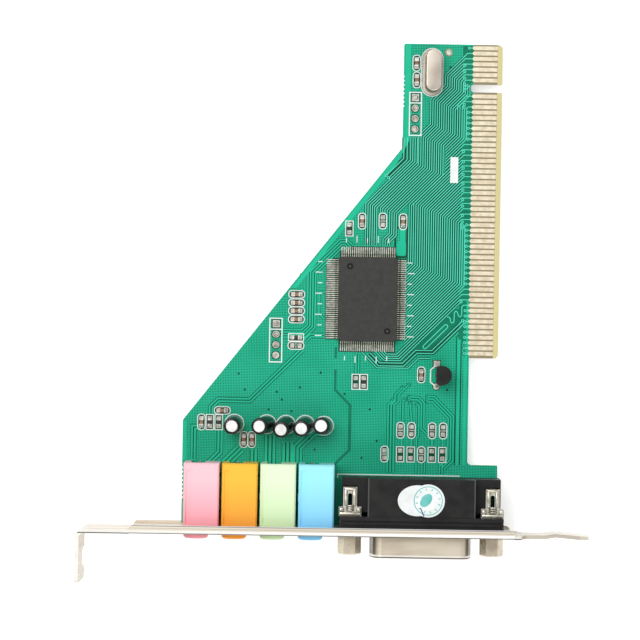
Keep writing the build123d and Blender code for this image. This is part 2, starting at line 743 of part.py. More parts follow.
# Game port: hex jackscrew posts with a threaded hole, and the shank that holds the port
for side, post_x in zip(("left", "right"), post_places):
    with BuildPart() as hex_post:
        with BuildSketch(across(bracket_face_y)):
            with Locations((post_x, port_height)):
                RegularPolygon(post_across_flats / 2, 6, major_radius=False)
        extrude(amount=post_reach)
        chamfer(hex_post.faces().sort_by(Axis.Y)[0].edges(), post_chamfer)
        with BuildSketch(across(bar_back_y + lock_sheet)):
            with Locations((post_x, port_height)):
                RegularPolygon(shank_radius, round_side_count)
        extrude(amount=bar_back_y + lock_sheet - bracket_face_y)
        with BuildSketch(across(bracket_face_y - post_reach)):
            with Locations((post_x, port_height)):
                Circle(post_thread_radius)
        extrude(amount=-post_thread_depth, mode=Mode.SUBTRACT)
    hex_post.part.label = side + "_hex_post"
    export_step(hex_post.part, "parts/" + side + "_hex_post.step")

    # Board lock: a threaded lug behind the bar, an arm with a slot, and two legs in the board
    arm_z = lock_top_z - lock_sheet
    with BuildPart() as board_lock:
        with BuildSketch(across(bar_back_y + lock_sheet)):
            with Locations((post_x, (arm_z + port_height - lock_foot_width / 2) / 2)):
                Rectangle(lock_foot_width, arm_z - port_height + lock_foot_width / 2)
        extrude(amount=lock_sheet)
        with BuildSketch(Plane.XY.offset(arm_z)):
            with Locations((post_x, (bar_back_y + lock_back_y) / 2)):
                Rectangle(lock_width, lock_back_y - bar_back_y)
            with Locations((post_x, bar_back_y + lock_root / 2)):
                Rectangle(lock_foot_width, lock_root)
            with Locations((post_x, (bar_back_y + lock_back_y) / 2 + slack)):
                SlotOverall(lock_slot_length, lock_slot, 90, mode=Mode.SUBTRACT)
        extrude(amount=lock_sheet)
        with BuildSketch(across(lock_back_y)):
            with Locations((post_x, (slack + lock_top_z) / 2)):
                Rectangle(lock_width - slack, lock_top_z - slack)
            with Locations((post_x, (tail_end_z + lock_top_z) / 2)):
                Rectangle(lock_leg_width, lock_top_z - tail_end_z)
            with Locations((post_x, (tail_end_z + arm_z - lock_bridge) / 2)):
                Rectangle(lock_slot, arm_z - lock_bridge - tail_end_z, mode=Mode.SUBTRACT)
        extrude(amount=lock_sheet)
        with BuildSketch(across(bar_back_y + lock_sheet)):
            with Locations((post_x, port_height)):
                RegularPolygon(shank_radius + thread_clearance, round_side_count)
        extrude(amount=lock_sheet, mode=Mode.SUBTRACT)
    board_lock.part.label = side + "_board_lock"
    export_step(board_lock.part, "parts/" + side + "_board_lock.step")

# Quad flat pack: moulded body with drafted sides and two ejector marks
parting_z = chip_standoff + chip_thickness / 2
with BuildPart() as chip_body:
    for face_z in (chip_standoff, chip_standoff + chip_thickness):
        with BuildSketch(Plane.XY.offset(parting_z)):
            with Locations((chip_x, chip_y)):
                middle = Rectangle(chip_width, chip_length)
            chamfer(middle.vertices(), chip_corner)
        with BuildSketch(Plane.XY.offset(face_z)):
            with Locations((chip_x, chip_y)):
                end = Rectangle(chip_width - 2 * chip_draft, chip_length - 2 * chip_draft)
            chamfer(end.vertices(), chip_corner)
        loft()
    with BuildSketch(Plane.XY.offset(chip_standoff + chip_thickness)):
        with Locations(*[(chip_x + out_x, chip_y + out_y) for out_x, out_y in dimple_places]):
            RegularPolygon(dimple_radius, round_side_count)
    extrude(amount=-dimple_depth, mode=Mode.SUBTRACT)
chip_body.part.label = "chip_body"
export_step(chip_body.part, "parts/chip_body.step")

# Quad flat pack: gull-wing leads on four sides
with BuildPart() as lead:
    with BuildSketch(Plane.XZ.offset(-lead_width / 2)):
        with BuildLine():
            Polyline(
                (0, lead_exit),
                (lead_shoulder, lead_exit),
                (lead_heel, lead_thickness / 2),
                (lead_reach, lead_thickness / 2),
            )
        trace(line_width=lead_thickness)
    extrude(amount=lead_width)
lead_places = []
for turn, half, count in (
    (0, chip_width / 2, leads_on_side),
    (180, chip_width / 2, leads_on_side),
    (90, chip_length / 2, leads_on_end),
    (270, chip_length / 2, leads_on_end),
):
    for i in range(count):
        along = (i - (count - 1) / 2) * lead_pitch
        lead_x = chip_x + half * cos(radians(turn)) - along * sin(radians(turn))
        lead_y = chip_y + half * sin(radians(turn)) + along * cos(radians(turn))
        lead_places.append(Location((lead_x, lead_y, 0), (0, 0, turn)))
with BuildPart() as chip_leads:
    with Locations(*lead_places):
        add(lead.part)
chip_leads.part.label = "chip_leads"
export_step(chip_leads.part, "parts/chip_leads.step")

# Crystal: a flanged base and a drawn can that leans a little, with two leads through the board
crystal_lift = crystal_flange_width / 2 * sin(radians(crystal_lean))
crystal_plane = Plane(Location((crystal_x, crystal_y, crystal_lift), (0, crystal_lean, 0)))
with BuildPart() as crystal_base:
    with BuildSketch(crystal_plane):
        SlotOverall(crystal_flange_length, crystal_flange_width, 90)
    extrude(amount=crystal_flange_thickness)
crystal_base.part.label = "crystal_base"
export_step(crystal_base.part, "parts/crystal_base.step")

with BuildPart() as crystal_can:
    with BuildSketch(crystal_plane.offset(crystal_flange_thickness)):
        SlotOverall(crystal_can_length, crystal_can_width, 90)
    extrude(amount=crystal_can_height)
    chamfer(crystal_can.faces().sort_by(Axis.Z)[-1].edges(), crystal_chamfer)
crystal_can.part.label = "crystal_can"
export_step(crystal_can.part, "parts/crystal_can.step")

with BuildPart() as crystal_leads:
    with BuildSketch(Plane.XY.offset(tail_end_z)):
        with Locations(*[(crystal_x, crystal_y + side * crystal_lead_pitch / 2) for side in (-1, 1)]):
            RegularPolygon(crystal_lead_radius, wire_side_count)
    extrude(amount=-tail_end_z + crystal_lift - crystal_lead_radius * sin(radians(crystal_lean)))
crystal_leads.part.label = "crystal_leads"
export_step(crystal_leads.part, "parts/crystal_leads.step")

# Electrolytic capacitors: a printed sleeve shrunk over a can, a rubber seal and two leads
with BuildPart() as capacitor_leads:
    for foot, top in zip(capacitor_feet, capacitor_tops):
        base, axis, across_lean = capacitor_axis(foot, top)
        for way in (-1, 1):
            hole = Vector(foot[0] + way * capacitor_lead_pitch / 2, foot[1], 0)
            reach = Vector(way, 0, 0) - axis * axis.X * way
            end = base + reach.normalized() * (capacitor_lead_pitch / 2)
            with BuildSketch(Plane.XY.offset(tail_end_z)):
                with Locations((hole.X, hole.Y)):
                    RegularPolygon(capacitor_lead_radius, wire_side_count)
            extrude(amount=-tail_end_z)
            if end.Z > capacitor_lead_radius:
                with BuildSketch(Plane.XY):
                    with Locations((hole.X, hole.Y)):
                        RegularPolygon(capacitor_lead_radius, wire_side_count)
                with BuildSketch(Plane(origin=end, x_dir=reach, z_dir=axis)):
                    RegularPolygon(capacitor_lead_radius, wire_side_count)
                loft()
capacitor_leads.part.label = "capacitor_leads"
export_step(capacitor_leads.part, "parts/capacitor_leads.step")

can_radius = capacitor_radius - sleeve_wall
can_top = capacitor_height - sleeve_wall
can_shoulder = can_top - sleeve_shoulder
for number, (foot, top) in enumerate(zip(capacitor_feet, capacitor_tops), start=1):
    base, axis, across_lean = capacitor_axis(foot, top)
    foot_plane = Plane(origin=base, x_dir=across_lean, z_dir=axis)
    with BuildPart() as can:
        with BuildSketch(foot_plane.offset(seal_depth)):
            RegularPolygon(can_radius, can_side_count)
        extrude(amount=can_shoulder - seal_depth)
        with BuildSketch(foot_plane.offset(can_shoulder)):
            RegularPolygon(can_radius, can_side_count)
        with BuildSketch(foot_plane.offset(can_top)):
            RegularPolygon(sleeve_opening_radius, can_side_count)
        loft(ruled=True)
    can.part.label = "capacitor_%d_can" % number
    export_step(can.part, "parts/capacitor_%d_can.step" % number)
    with BuildPart() as sleeve:
        with BuildSketch(foot_plane):
            RegularPolygon(capacitor_radius, can_side_count)
        extrude(amount=capacitor_height - sleeve_shoulder)
        with BuildSketch(foot_plane.offset(capacitor_height - sleeve_shoulder)):
            RegularPolygon(capacitor_radius, can_side_count)
        with BuildSketch(foot_plane.offset(capacitor_height)):
            RegularPolygon(sleeve_opening_radius, can_side_count)
        loft(ruled=True)
        add(can.part, mode=Mode.SUBTRACT)
        with BuildSketch(foot_plane):
            RegularPolygon(can_radius, can_side_count)
        extrude(amount=seal_depth, mode=Mode.SUBTRACT)
        with BuildSketch(foot_plane.offset(can_top)):
            RegularPolygon(sleeve_opening_radius, can_side_count)
        extrude(amount=sleeve_wall, mode=Mode.SUBTRACT)
    sleeve.part.label = "capacitor_%d_sleeve" % number
    export_step(sleeve.part, "parts/capacitor_%d_sleeve.step" % number)

with BuildPart() as capacitor_seals:
    for foot, top in zip(capacitor_feet, capacitor_tops):
        base, axis, across_lean = capacitor_axis(foot, top)
        with BuildSketch(Plane(origin=base, x_dir=across_lean, z_dir=axis)):
            RegularPolygon(can_radius, can_side_count)
        extrude(amount=seal_depth)
capacitor_seals.part.label = "capacitor_seals"
export_step(capacitor_seals.part, "parts/capacitor_seals.step")

# Transistor: a half-round moulded body on three formed legs
with BuildPart() as transistor_body:
    with BuildSketch(Plane.XY.offset(transistor_standoff)):
        with Locations((transistor_x, transistor_y)):
            Circle(transistor_radius)
        with Locations((transistor_x - transistor_flat - transistor_radius / 2, transistor_y)):
            Rectangle(transistor_radius, 2 * transistor_radius, mode=Mode.SUBTRACT)
    extrude(amount=transistor_height)
transistor_body.part.label = "transistor_body"
export_step(transistor_body.part, "parts/transistor_body.step")

with BuildPart() as transistor_legs:
    for i in (-1, 0, 1):
        for leg_x, leg_y, leg_z in (
            (transistor_pad_x, transistor_y + i * transistor_pad_pitch, tail_end_z),
            (transistor_pad_x, transistor_y + i * transistor_pad_pitch, transistor_leg),
            (transistor_x, transistor_y + i * transistor_leg_pitch, transistor_standoff),
        ):
            with BuildSketch(Plane.XY.offset(leg_z)):
                with Locations((leg_x, leg_y)):
                    Rectangle(transistor_leg, transistor_leg)
        loft(ruled=True)
transistor_legs.part.label = "transistor_legs"
export_step(transistor_legs.part, "parts/transistor_legs.step")

# Chip capacitors and resistors: ceramic bodies between plated end caps
for kind, places, height in (
    ("chip_capacitor", chip_capacitor_places, capacitor_body_height),
    ("chip_resistor", chip_resistor_places, resistor_body_height),
):
    with BuildPart() as bodies:
        with BuildSketch(Plane.XY.offset(end_cap_wrap)):
            with Locations(*[Location((x, y, 0), (0, 0, turn)) for x, y, turn in places]):
                Rectangle(chip_part_length - 2 * end_cap, chip_part_width)
        extrude(amount=height)
    bodies.part.label = kind + "_bodies"
    export_step(bodies.part, "parts/" + kind + "_bodies.step")
    with BuildPart() as ends:
        with BuildSketch(Plane.XY):
            with Locations(*chip_part_ends(places)):
                Rectangle(end_cap, chip_part_width + 2 * end_cap_wrap)
        extrude(amount=height + 2 * end_cap_wrap)
    ends.part.label = kind + "_ends"
    export_step(ends.part, "parts/" + kind + "_ends.step")

# Solder that fills the header holes, as a flat dome on each pad, and the rings of the open holes
filled_pads = [(long_header[0], long_header[1] - i * header_pitch) for i in range(filled_on_long)]
filled_pads += [(short_header[0], short_header[1] - i * header_pitch) for i in range(filled_on_short)]
with BuildPart() as header_solder:
    for pad in filled_pads:
        with BuildSketch(Plane.XY):
            with Locations(pad):
                RegularPolygon(pad_radius, notch_side_count)
        with BuildSketch(Plane.XY.offset(solder_dome)):
            with Locations(pad):
                RegularPolygon(dome_top, notch_side_count)
        loft(ruled=True)
header_solder.part.label = "header_solder"
export_step(header_solder.part, "parts/header_solder.step")

with BuildPart() as hole_rings:
    with BuildSketch(Plane.XY):
        with Locations(open_header_hole):
            RegularPolygon(pad_radius, round_side_count)
        with Locations(test_point):
            RegularPolygon(test_point_radius, round_side_count)
        with Locations(open_header_hole, test_point):
            RegularPolygon(open_hole_radius, round_side_count, mode=Mode.SUBTRACT)
    extrude(amount=copper)
hole_rings.part.label = "hole_rings"
export_step(hole_rings.part, "parts/hole_rings.step")

# Paper labels on the hood, the round one over the oval one
with BuildPart() as oval_sticker:
    with BuildSketch(Plane.XY.offset(hood_height)):
        with Locations(oval_label):
            Ellipse(oval_label_half_length, oval_label_half_width)
    extrude(amount=label_paper)
oval_sticker.part.label = "oval_sticker"
export_step(oval_sticker.part, "parts/oval_sticker.step")

with BuildPart() as round_sticker:
    with BuildSketch(Plane.XY.offset(hood_height + label_paper)):
        with Locations(round_label):
            Circle(round_label_radius)
    extrude(amount=label_paper)
round_sticker.part.label = "round_sticker"
export_step(round_sticker.part, "parts/round_sticker.step")
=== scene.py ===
"""The looks of a short PCI sound card, lying on its solder side and seen straight down."""
from math import atan2, cos, hypot, pi, radians, sin

import bpy
from mathutils import Matrix, Vector


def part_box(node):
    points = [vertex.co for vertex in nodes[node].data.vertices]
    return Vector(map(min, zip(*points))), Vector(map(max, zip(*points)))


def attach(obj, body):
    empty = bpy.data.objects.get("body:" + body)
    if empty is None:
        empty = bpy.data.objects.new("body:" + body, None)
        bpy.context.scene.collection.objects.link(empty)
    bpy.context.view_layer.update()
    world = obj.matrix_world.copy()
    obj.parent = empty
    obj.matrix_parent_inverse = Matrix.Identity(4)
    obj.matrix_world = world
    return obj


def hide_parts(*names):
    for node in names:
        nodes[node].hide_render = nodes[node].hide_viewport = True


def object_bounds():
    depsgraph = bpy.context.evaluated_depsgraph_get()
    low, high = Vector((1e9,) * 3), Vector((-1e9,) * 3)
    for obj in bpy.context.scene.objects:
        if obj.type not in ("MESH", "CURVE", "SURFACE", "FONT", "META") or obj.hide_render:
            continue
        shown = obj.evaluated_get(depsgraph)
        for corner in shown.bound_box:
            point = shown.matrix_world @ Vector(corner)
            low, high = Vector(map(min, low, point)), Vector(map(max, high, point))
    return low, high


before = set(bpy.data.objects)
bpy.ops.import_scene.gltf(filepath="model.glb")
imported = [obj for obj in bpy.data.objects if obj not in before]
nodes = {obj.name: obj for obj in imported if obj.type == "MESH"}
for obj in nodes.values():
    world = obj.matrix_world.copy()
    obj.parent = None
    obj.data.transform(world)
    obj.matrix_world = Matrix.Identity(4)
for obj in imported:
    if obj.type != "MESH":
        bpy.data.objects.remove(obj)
cad_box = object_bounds()
MM = 0.001

# Camera. The card was photographed from straight above, 700 mm over the board, which lies turned
# about one degree clockwise in the picture. The spot straight under the lens is left of the chip.
CAMERA_HEIGHT = 700
CAMERA_SPOT = (-42.3, -55.5)
PICTURE_WIDTH = 640
PIXELS_PER_MM = 4.22
CARD_TURN = 0.95
SENSOR_WIDTH = 36
bpy.ops.object.camera_add(location=(CAMERA_SPOT[0] * MM, CAMERA_SPOT[1] * MM, CAMERA_HEIGHT * MM))
camera = bpy.context.object
camera.name = "camera"
camera.rotation_euler = (0, 0, radians(CARD_TURN))
camera.data.sensor_width = SENSOR_WIDTH
camera.data.lens = SENSOR_WIDTH * CAMERA_HEIGHT * PIXELS_PER_MM / PICTURE_WIDTH
bpy.context.scene.camera = camera
bpy.context.scene.view_settings.view_transform = "Standard"


# Floor, backdrop and light. A white table under a large soft lamp, with a weaker one in front.
# The camera sees the table as plain white, apart from the faint shadow that the card throws.
def new_material(name):
    """A node material, with its tree and its Principled BSDF."""
    material = bpy.data.materials.new(name)
    material.use_nodes = True
    return material, material.node_tree, material.node_tree.nodes["Principled BSDF"]


def node(tree, kind, inputs=None, **settings):
    """A shader node. Each input, by name or number, takes a value or the socket that feeds it."""
    made = tree.nodes.new(kind)
    for name, value in settings.items():
        setattr(made, name, value)
    for key, value in (inputs or {}).items():
        socket = made.inputs[key]
        if isinstance(value, bpy.types.NodeSocket):
            tree.links.new(value, socket)
        elif socket.type == "RGBA":
            socket.default_value = (*value, 1)
        else:
            socket.default_value = value
    return made


def maths(operation, *values):
    """The result of a Math node. The first value is a socket, the others are sockets or numbers."""
    return node(values[0].id_data, "ShaderNodeMath", dict(enumerate(values)), operation=operation).outputs[0]


FLOOR_SIZE = 3.0
FLOOR_DROP = 0.00005
TABLE_GLOW = 0.55
WORLD_LIGHT = 0.45
bpy.ops.object.select_all(action="DESELECT")
bpy.ops.mesh.primitive_plane_add(size=FLOOR_SIZE, location=(0, 0, 0))
floor = bpy.context.object
floor.name = "floor"
bpy.ops.object.mode_set(mode="EDIT")
bpy.ops.transform.translate(value=(0, 0, cad_box[0][2] - FLOOR_DROP))
bpy.ops.object.mode_set(mode="OBJECT")
floor_material, tree, shader = new_material("white_table")
shader.inputs["Base Color"].default_value = (0.85, 0.85, 0.85, 1)
shader.inputs["Roughness"].default_value = 0.9
rays = node(tree, "ShaderNodeLightPath").outputs
seen = maths("MAXIMUM", rays["Is Camera Ray"], rays["Is Glossy Ray"])
seen = maths("MAXIMUM", seen, rays["Is Transmission Ray"])
glow = node(tree, "ShaderNodeEmission", {"Color": (1, 1, 1), "Strength": maths("MULTIPLY", seen, TABLE_GLOW)})
both = node(tree, "ShaderNodeAddShader", {0: shader.outputs[0], 1: glow.outputs[0]})
tree.links.new(both.outputs[0], tree.nodes["Material Output"].inputs["Surface"])
floor.data.materials.append(floor_material)

world = bpy.data.worlds.new("studio")
bpy.context.scene.world = world
world.use_nodes = True
world.node_tree.nodes["Background"].inputs["Color"].default_value = (1, 1, 1, 1)
world.node_tree.nodes["Background"].inputs["Strength"].default_value = WORLD_LIGHT
for name, place, size, power in (
    ("main_lamp", (-0.35, 0.25, 0.75), 0.7, 5.0),
    ("front_lamp", (0.12, -0.6, 0.42), 0.5, 1.5),
):
    bpy.ops.object.light_add(type="AREA", location=place)
    lamp = bpy.context.object
    lamp.name = name
    lamp.data.size = size
    lamp.data.energy = power
    aim = Vector((CAMERA_SPOT[0] * MM, CAMERA_SPOT[1] * MM, 0)) - Vector(place)
    lamp.rotation_euler = aim.to_track_quat("-Z", "Y").to_euler()


# Board. A glass-fibre sheet with copper on both faces under green lacquer. The ground copper is a
# fine mesh, seen as rows of dark dots; the strip of the edge connector has no lacquer, and its
# bevel and the routed edges show the bare yellow laminate.
def new_group(name, inputs, outputs):
    """A shader node group with its named sockets, and the sockets that stand for them inside."""
    group = bpy.data.node_groups.new(name, "ShaderNodeTree")
    for way, sockets in (("INPUT", inputs), ("OUTPUT", outputs)):
        for label, kind in sockets:
            group.interface.new_socket(name=label, in_out=way, socket_type="NodeSocket" + kind)
    return group, node(group, "NodeGroupInput").outputs, node(group, "NodeGroupOutput").inputs


def past(value, limit, soft=0.00002):
    """1 where a value is over a limit, with a soft edge."""
    span = {"Value": value, "From Min": limit - soft, "From Max": limit + soft}
    return node(value.id_data, "ShaderNodeMapRange", span).outputs[0]


def over(factor, below, above):
    """One colour over another by a factor."""
    mix = node(factor.id_data, "ShaderNodeMix", {"Factor": factor, "A": below, "B": above}, data_type="RGBA")
    return mix.outputs["Result"]


def place_axes(tree):
    """X, Y and Z of a point in the piece's own space."""
    place = node(tree, "ShaderNodeTexCoord").outputs["Object"]
    return node(tree, "ShaderNodeSeparateXYZ", {0: place}).outputs


def facing_axes(tree):
    """X, Y and Z of the way a surface faces."""
    facing = node(tree, "ShaderNodeNewGeometry").outputs["Normal"]
    return node(tree, "ShaderNodeSeparateXYZ", {0: facing}).outputs


# The group "mottle" mixes two colours and two roughnesses by noise in the piece's own space
mottle, given, result = new_group(
    "mottle",
    (
        ("Colour A", "Color"), ("Colour B", "Color"), ("Scale", "Float"), ("Stretch", "Vector"),
        ("Roughness A", "Float"), ("Roughness B", "Float"),
    ),
    (("Color", "Color"), ("Roughness", "Float"), ("Height", "Float")),
)
place = node(mottle, "ShaderNodeTexCoord").outputs["Object"]
place = node(mottle, "ShaderNodeVectorMath", {0: place, 1: given["Stretch"]}, operation="MULTIPLY").outputs[0]
noise = {"Vector": place, "Scale": given["Scale"], "Detail": 3}
noise = node(mottle, "ShaderNodeTexNoise", noise).outputs["Fac"]
spread = {"Value": noise, "From Min": 0.3, "From Max": 0.7}
spread = node(mottle, "ShaderNodeMapRange", spread, interpolation_type="SMOOTHSTEP").outputs[0]
rough = {"Value": spread, "To Min": given["Roughness A"], "To Max": given["Roughness B"]}
mottle.links.new(over(spread, given["Colour A"], given["Colour B"]), result["Color"])
mottle.links.new(node(mottle, "ShaderNodeMapRange", rough).outputs[0], result["Roughness"])
mottle.links.new(noise, result["Height"])


def mottled(name, colour_a, colour_b, scale, rough, bump=0.0, metal=0.0, stretch=(1, 1, 1), shine=0.5):
    """A material of two close colours mixed by noise, with rougher and smoother spots and a fine bump."""
    material, tree, shader = new_material(name)
    given = {
        "Colour A": colour_a, "Colour B": colour_b, "Scale": scale, "Stretch": stretch,
        "Roughness A": rough[0], "Roughness B": rough[1],
    }
    body = node(tree, "ShaderNodeGroup", given, node_tree=mottle)
    tree.links.new(body.outputs["Color"], shader.inputs["Base Color"])
    tree.links.new(body.outputs["Roughness"], shader.inputs["Roughness"])
    shader.inputs["Metallic"].default_value = metal
    shader.inputs["Specular IOR Level"].default_value = shine
    if bump:
        relief = node(
            tree, "ShaderNodeBump", {"Strength": bump, "Distance": 0.1 * MM, "Height": body.outputs["Height"]}
        )
        tree.links.new(relief.outputs["Normal"], shader.inputs["Normal"])
    return material


def inside(material):
    """A material's tree, its shader, and the socket that feeds its colour."""
    shader = material.node_tree.nodes["Principled BSDF"]
    return material.node_tree, shader, shader.inputs["Base Color"].links[0].from_socket


def scaled(colour, *shares):
    """A colour with each of its parts scaled."""
    return tuple(part * share for part, share in zip(colour, shares))


def finish_node(name, material):
    """Gives a piece of the frame its material."""
    for place in nodes[name].material_slots:
        place.material = material


LACQUER = (0.010, 0.50, 0.29)
LACQUER_THIN = (0.0005, 0.07, 0.03)
LAMINATE = (0.24, 0.20, 0.11)
BEVEL_LAMINATE = (0.76, 0.68, 0.34)
ROUTED_EDGE = (0.33, 0.36, 0.16)
LACQUER_SHINE = 0.18
DOT_PITCH = 0.38
FIBRE_SCALE = 2500
LACQUER_EDGE_X = -6.8
BEVEL_X = -1.2
CONNECTOR_END_Y = -70.0
board_material = mottled(
    "board", LACQUER, scaled(LACQUER, 1.6, 1.12, 1.15), 90, (0.28, 0.4), shine=LACQUER_SHINE
)
tree, shader, lacquer = inside(board_material)
place = node(tree, "ShaderNodeTexCoord").outputs["Object"]
spots = node(tree, "ShaderNodeVectorMath", {0: place, "Scale": 2 * pi / (DOT_PITCH * MM)}, operation="SCALE")
waves = node(tree, "ShaderNodeSeparateXYZ", {0: spots.outputs[0]}).outputs
waves = maths("ADD", maths("SINE", waves["X"]), maths("SINE", waves["Y"]))
dots = node(tree, "ShaderNodeMapRange", {"Value": waves, "From Min": 0.15, "From Max": 0.95}).outputs[0]
at = place_axes(tree)
fibre = node(tree, "ShaderNodeTexNoise", {"Scale": FIBRE_SCALE}).outputs["Fac"]
laminate = over(fibre, LAMINATE, scaled(LAMINATE, 1.5, 1.5, 1.7))
bare_end = over(past(at["X"], BEVEL_X * MM), laminate, BEVEL_LAMINATE)
bare = maths("MULTIPLY", past(at["X"], LACQUER_EDGE_X * MM), past(at["Y"], CONNECTOR_END_Y * MM))
colour = over(bare, over(dots, lacquer, LACQUER_THIN), bare_end)
level = past(maths("ABSOLUTE", facing_axes(tree)["Z"]), 0.7, 0.05)
tree.links.new(over(level, ROUTED_EDGE, colour), shader.inputs["Base Color"])
relief = node(tree, "ShaderNodeBump", {"Strength": 0.25, "Distance": 0.03 * MM, "Height": dots}, invert=True)
tree.links.new(relief.outputs["Normal"], shader.inputs["Normal"])
finish_node("pcb", board_material)


# Tracks. Copper lines under the lacquer, raised a few hundredths of a millimetre, with bare laminate
# showing dark between them. They run from the gold contacts to the chip, and from there to the
# jacks and the game port, in bundles that turn by 45 degrees.
GAP_GREEN = (0.0003, 0.065, 0.03)
TRACK_GREEN = (0.08, 0.70, 0.48)
TRACK_PITCH = 0.53
TRACK_WIDTH = 0.21
TRACK_TOP = 0.035
GAP_TOP = 0.012
HAIR = 0.0007
HAIR_STEPS = 16
SAME_POINT = 0.001
VIA_PAD = 0.36
VIA_HOLE = 0.15
VIA_GAP = 0.16
STITCH_HOLE = 0.27
GAP_OVERLAP = 0.04


def shifted(points, distance, closed=False):
    """A line of points moved to the left of its direction, with mitred corners."""
    moved = []
    for index, (x, y) in enumerate(points):
        ways = []
        for start in (index - 1, index):
            if closed or 0 <= start < len(points) - 1:
                (ax, ay), (bx, by) = points[start], points[(start + 1) % len(points)]
                length = hypot(bx - ax, by - ay)
                ways.append((-(by - ay) / length, (bx - ax) / length))
        nx, ny = sum(way[0] for way in ways), sum(way[1] for way in ways)
        scale = distance * len(ways) / (nx * nx + ny * ny)
        moved.append((x + nx * scale, y + ny * scale))
    return moved


def kept_inside(points, limits):
    """The part of a line inside straight limits, each given as a, b, c, where a x + b y stays under c."""
    for a, b, c in limits:
        kept = []
        for (ax, ay), (bx, by) in zip(points, points[1:]):
            before, after = a * ax + b * ay - c, a * bx + b * by - c
            if before <= 0 and not kept:
                kept.append((ax, ay))
            if (before <= 0) != (after <= 0):
                share = before / (before - after)
                kept.append((ax + (bx - ax) * share, ay + (by - ay) * share))
            if after <= 0:
                kept.append((bx, by))
        points = kept
    return points


def round_points(x, y, radius, count=20):
    """Points around a circle."""
    angles = [2 * pi * i / count for i in range(count)]
    return [(x + radius * cos(angle), y + radius * sin(angle)) for angle in angles]


def box_points(low, high, corner=0.0, steps=4):
    """Points around a rectangle, with round corners if a corner radius is given."""
    (x0, y0), (x1, y1) = low, high
    if not corner:
        return [(x0, y0), (x1, y0), (x1, y1), (x0, y1)]
    left, right, bottom, top = x0 + corner, x1 - corner, y0 + corner, y1 - corner
    points = []
    for turn, (cx, cy) in enumerate(((right, bottom), (right, top), (left, top), (left, bottom))):
        for step in range(steps + 1):
            angle = pi / 2 * (turn - 1 + step / steps)
            point = (cx + corner * cos(angle), cy + corner * sin(angle))
            if not points or hypot(point[0] - points[-1][0], point[1] - points[-1][1]) > SAME_POINT:
                points.append(point)
    if hypot(points[0][0] - points[-1][0], points[0][1] - points[-1][1]) < SAME_POINT:
        points.pop()
    return points


def select_only(made):
    """Selects one object and makes it the active one."""
    bpy.ops.object.select_all(action="DESELECT")
    made.select_set(True)
    bpy.context.view_layer.objects.active = made


class Sheet:
    """Flat shapes that become one thin piece lying on the board, each a hair above the last."""

    def __init__(self, top, face=1):
        self.top, self.face = top, face
        self.vertices, self.faces, self.count = [], [], 0

    def add(self, points, faces):
        base = len(self.vertices)
        step = HAIR * (self.count % HAIR_STEPS) * MM
        self.count += 1
        self.vertices += [(x * MM, y * MM, step) for x, y in points]
        self.faces += [tuple(base + corner for corner in face) for face in faces]

    def line(self, points, width, closed=False):
        left = shifted(points, width / 2, closed)
        right = shifted(points, -width / 2, closed)
        count = len(points)
        spans = range(count if closed else count - 1)
        self.add(left + right, [(i, count + i, count + (i + 1) % count, (i + 1) % count) for i in spans])

    def shape(self, points):
        turn = sum(ax * by - bx * ay for (ax, ay), (bx, by) in zip(points, points[1:] + points[:1]))
        self.add(points if turn > 0 else points[::-1], [tuple(range(len(points)))])

    def piece(self, name, material, thickness, base=0.0):
        """Makes the mesh, gives it its thickness and lays it on the board."""
        mesh = bpy.data.meshes.new(name)
        mesh.from_pydata(self.vertices, [], self.faces)
        made = bpy.data.objects.new(name, mesh)
        bpy.context.collection.objects.link(made)
        select_only(made)
        wall = made.modifiers.new("thickness", "SOLIDIFY")
        wall.thickness = thickness * MM
        wall.offset = -1
        bpy.ops.object.modifier_apply(modifier=wall.name)
        bpy.ops.object.mode_set(mode="EDIT")
        bpy.ops.mesh.select_all(action="SELECT")
        if self.face < 0:
            bpy.ops.transform.resize(value=(1, 1, -1))
            bpy.ops.mesh.flip_normals()
        bpy.ops.transform.translate(value=(0, 0, (base + self.face * self.top) * MM))
        bpy.ops.object.mode_set(mode="OBJECT")
        made.data.materials.append(material)
        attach(made, "root")


copper_lines = Sheet(TRACK_TOP)
ground_lines = Sheet(TRACK_TOP + 0.001)
broad = Sheet(TRACK_TOP - 0.006)
gaps = Sheet(GAP_TOP)
bare_strips = Sheet(GAP_TOP + 0.013)
via_holes = Sheet(TRACK_TOP + 0.012)
via_places = []


def via(x, y, copper=copper_lines):
    """A small plated hole, tented with lacquer: a ring of copper round a dark spot."""
    copper.shape(round_points(x, y, VIA_PAD, 12))
    gaps.shape(round_points(x, y, VIA_PAD + VIA_GAP, 12))
    via_holes.shape(round_points(x, y, VIA_HOLE, 8))
    via_places.append((x, y))


CONTACT_PITCH = 1.27
TRACK_START_X = -7.05
NEAR_DROP, FAR_DROP = 0.75, 2.35
VIA_SETBACK = 1.9
contact_rows = [1.5 * CONTACT_PITCH + i * CONTACT_PITCH for i in range(7)]
contact_rows += [-1.5 * CONTACT_PITCH - i * CONTACT_PITCH for i in range(49)]
taken_rows = []


def to_contact(line):
    """Bends the end of a slanting track into the next free contact, or ends it at a via."""
    x, y = line[0]
    for row in contact_rows:
        drop = y - row
        if NEAR_DROP < drop < FAR_DROP and row not in taken_rows and x - drop > line[1][0] + 0.3:
            taken_rows.append(row)
            return [(x, row), (x - drop, row)] + line[1:]
    end = (x - VIA_SETBACK, y - VIA_SETBACK)
    via(*end)
    return [end] + line[1:]


def tracks(points, count=1, pitch=TRACK_PITCH, limits=(), width=TRACK_WIDTH, ends=(), copper=copper_lines):
    """A bundle of parallel tracks. The first follows the points, the rest lie to the left of it."""
    for number in range(count):
        line = kept_inside(shifted(points, number * pitch), limits)
        if len(line) < 2:
            continue
        if CONTACT_EDGE[0] in limits:
            line = to_contact(line)
        gaps.line(line, abs(pitch) + GAP_OVERLAP)
        copper.line(line, width)
        for end in ends:
            via(*line[end], copper)


